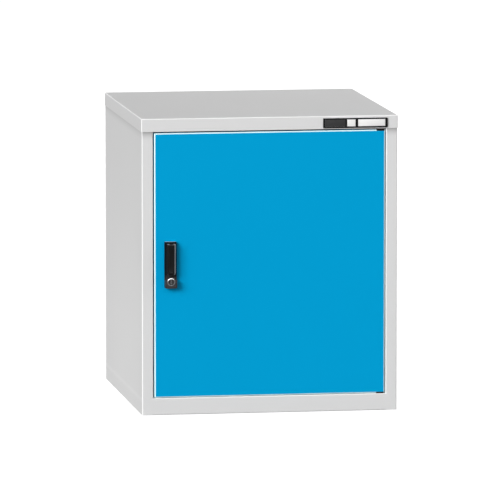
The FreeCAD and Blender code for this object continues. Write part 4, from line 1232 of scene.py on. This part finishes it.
@dataclass
class Studio:
    """White sweep under the cabinet, soft lights round it and a camera far in front of it."""

    floor_half: float = 60.0
    floor_colour: Colour = (0.15, 0.15, 0.15)
    floor_white: Colour = (1.0, 1.0, 1.0)
    floor_glow: Colour = (0.12, 0.12, 0.12)
    floor_roughness: float = 0.9
    patch_size: float = 0.4
    patch_share: float = 0.04
    sky: float = 0.15
    camera_place: Point = (-3.139, -19.838, 2.901)
    camera_target: Point = (0.0028, 0.0, 0.4171)
    lens: float = 507.5
    sensor: float = 36.0
    clip_end: float = 240.0

    def build(self) -> None:
        """Make the floor, the lights and the camera."""
        self.lay_floor()
        self.light_sky()
        for light in LIGHTS:
            light.hang()
        self.set_camera()

    def lay_floor(self) -> None:
        """A wide pale floor that looks white and gives the cabinet a little light from below."""
        BENCH.clear()
        bpy.ops.mesh.primitive_plane_add(size=2 * self.floor_half)
        floor = bpy.context.active_object
        floor.name = "studio_floor"
        graph = Graph("pale_floor")
        seen = graph.node("LightPath", output="Is Camera Ray")
        floor.data.materials.append(graph.finish(
            Base_Color=graph.shaded(self.floor_colour, 1.0 + graph.noise(self.patch_size) * self.patch_share),
            Roughness=self.floor_roughness,
            Specular_IOR_Level=0.0,
            Emission_Color=graph.mix(seen, self.floor_glow, self.floor_white),
            Emission_Strength=1.0,
        ))

    def light_sky(self) -> None:
        """An even white surround of low strength."""
        world = bpy.data.worlds.new("studio_surround")
        world.use_nodes = True
        background = world.node_tree.nodes["Background"]
        background.inputs["Color"].default_value = (1.0, 1.0, 1.0, 1.0)
        background.inputs["Strength"].default_value = self.sky
        bpy.context.scene.world = world

    def set_camera(self) -> None:
        """Set the camera up at the photograph's angle."""
        data = bpy.data.cameras.new("front_camera")
        data.lens = self.lens
        data.sensor_width = self.sensor
        data.clip_end = self.clip_end
        camera = bpy.data.objects.new("front_camera", data)
        aim(camera, self.camera_place, self.camera_target)
        bpy.context.scene.camera = camera


def dress_nodes(materials: Dict[Slot, Material]) -> None:
    """Give each CAD node the finish of its slot.

    Args:
        materials: The finished material of each slot.
    """
    for subpart in frame["record"]["subparts"]:
        node = frame["nodes"][subpart["node"]]
        node.data.materials.clear()
        node.data.materials.append(materials[Slot(subpart["material_slot"])])
        LOG.info("dressed %s", subpart["node"])


def main() -> None:
    """Dress the nodes, model the fittings and set up the studio."""
    logging.basicConfig(level=logging.INFO, format="%(message)s")
    materials = {slot: finish.make() for slot, finish in FINISHES.items()}
    trim = TRIM_FINISH.make()
    dress_nodes(materials)
    for assembly in (SwingHandle, LockFace, LabelHolder, Fasteners, DoorBuffers):
        assembly(materials, trim).build()
    bpy.context.scene.view_settings.view_transform = "Standard"
    Studio().build()


if __name__ == "__main__":
    main()
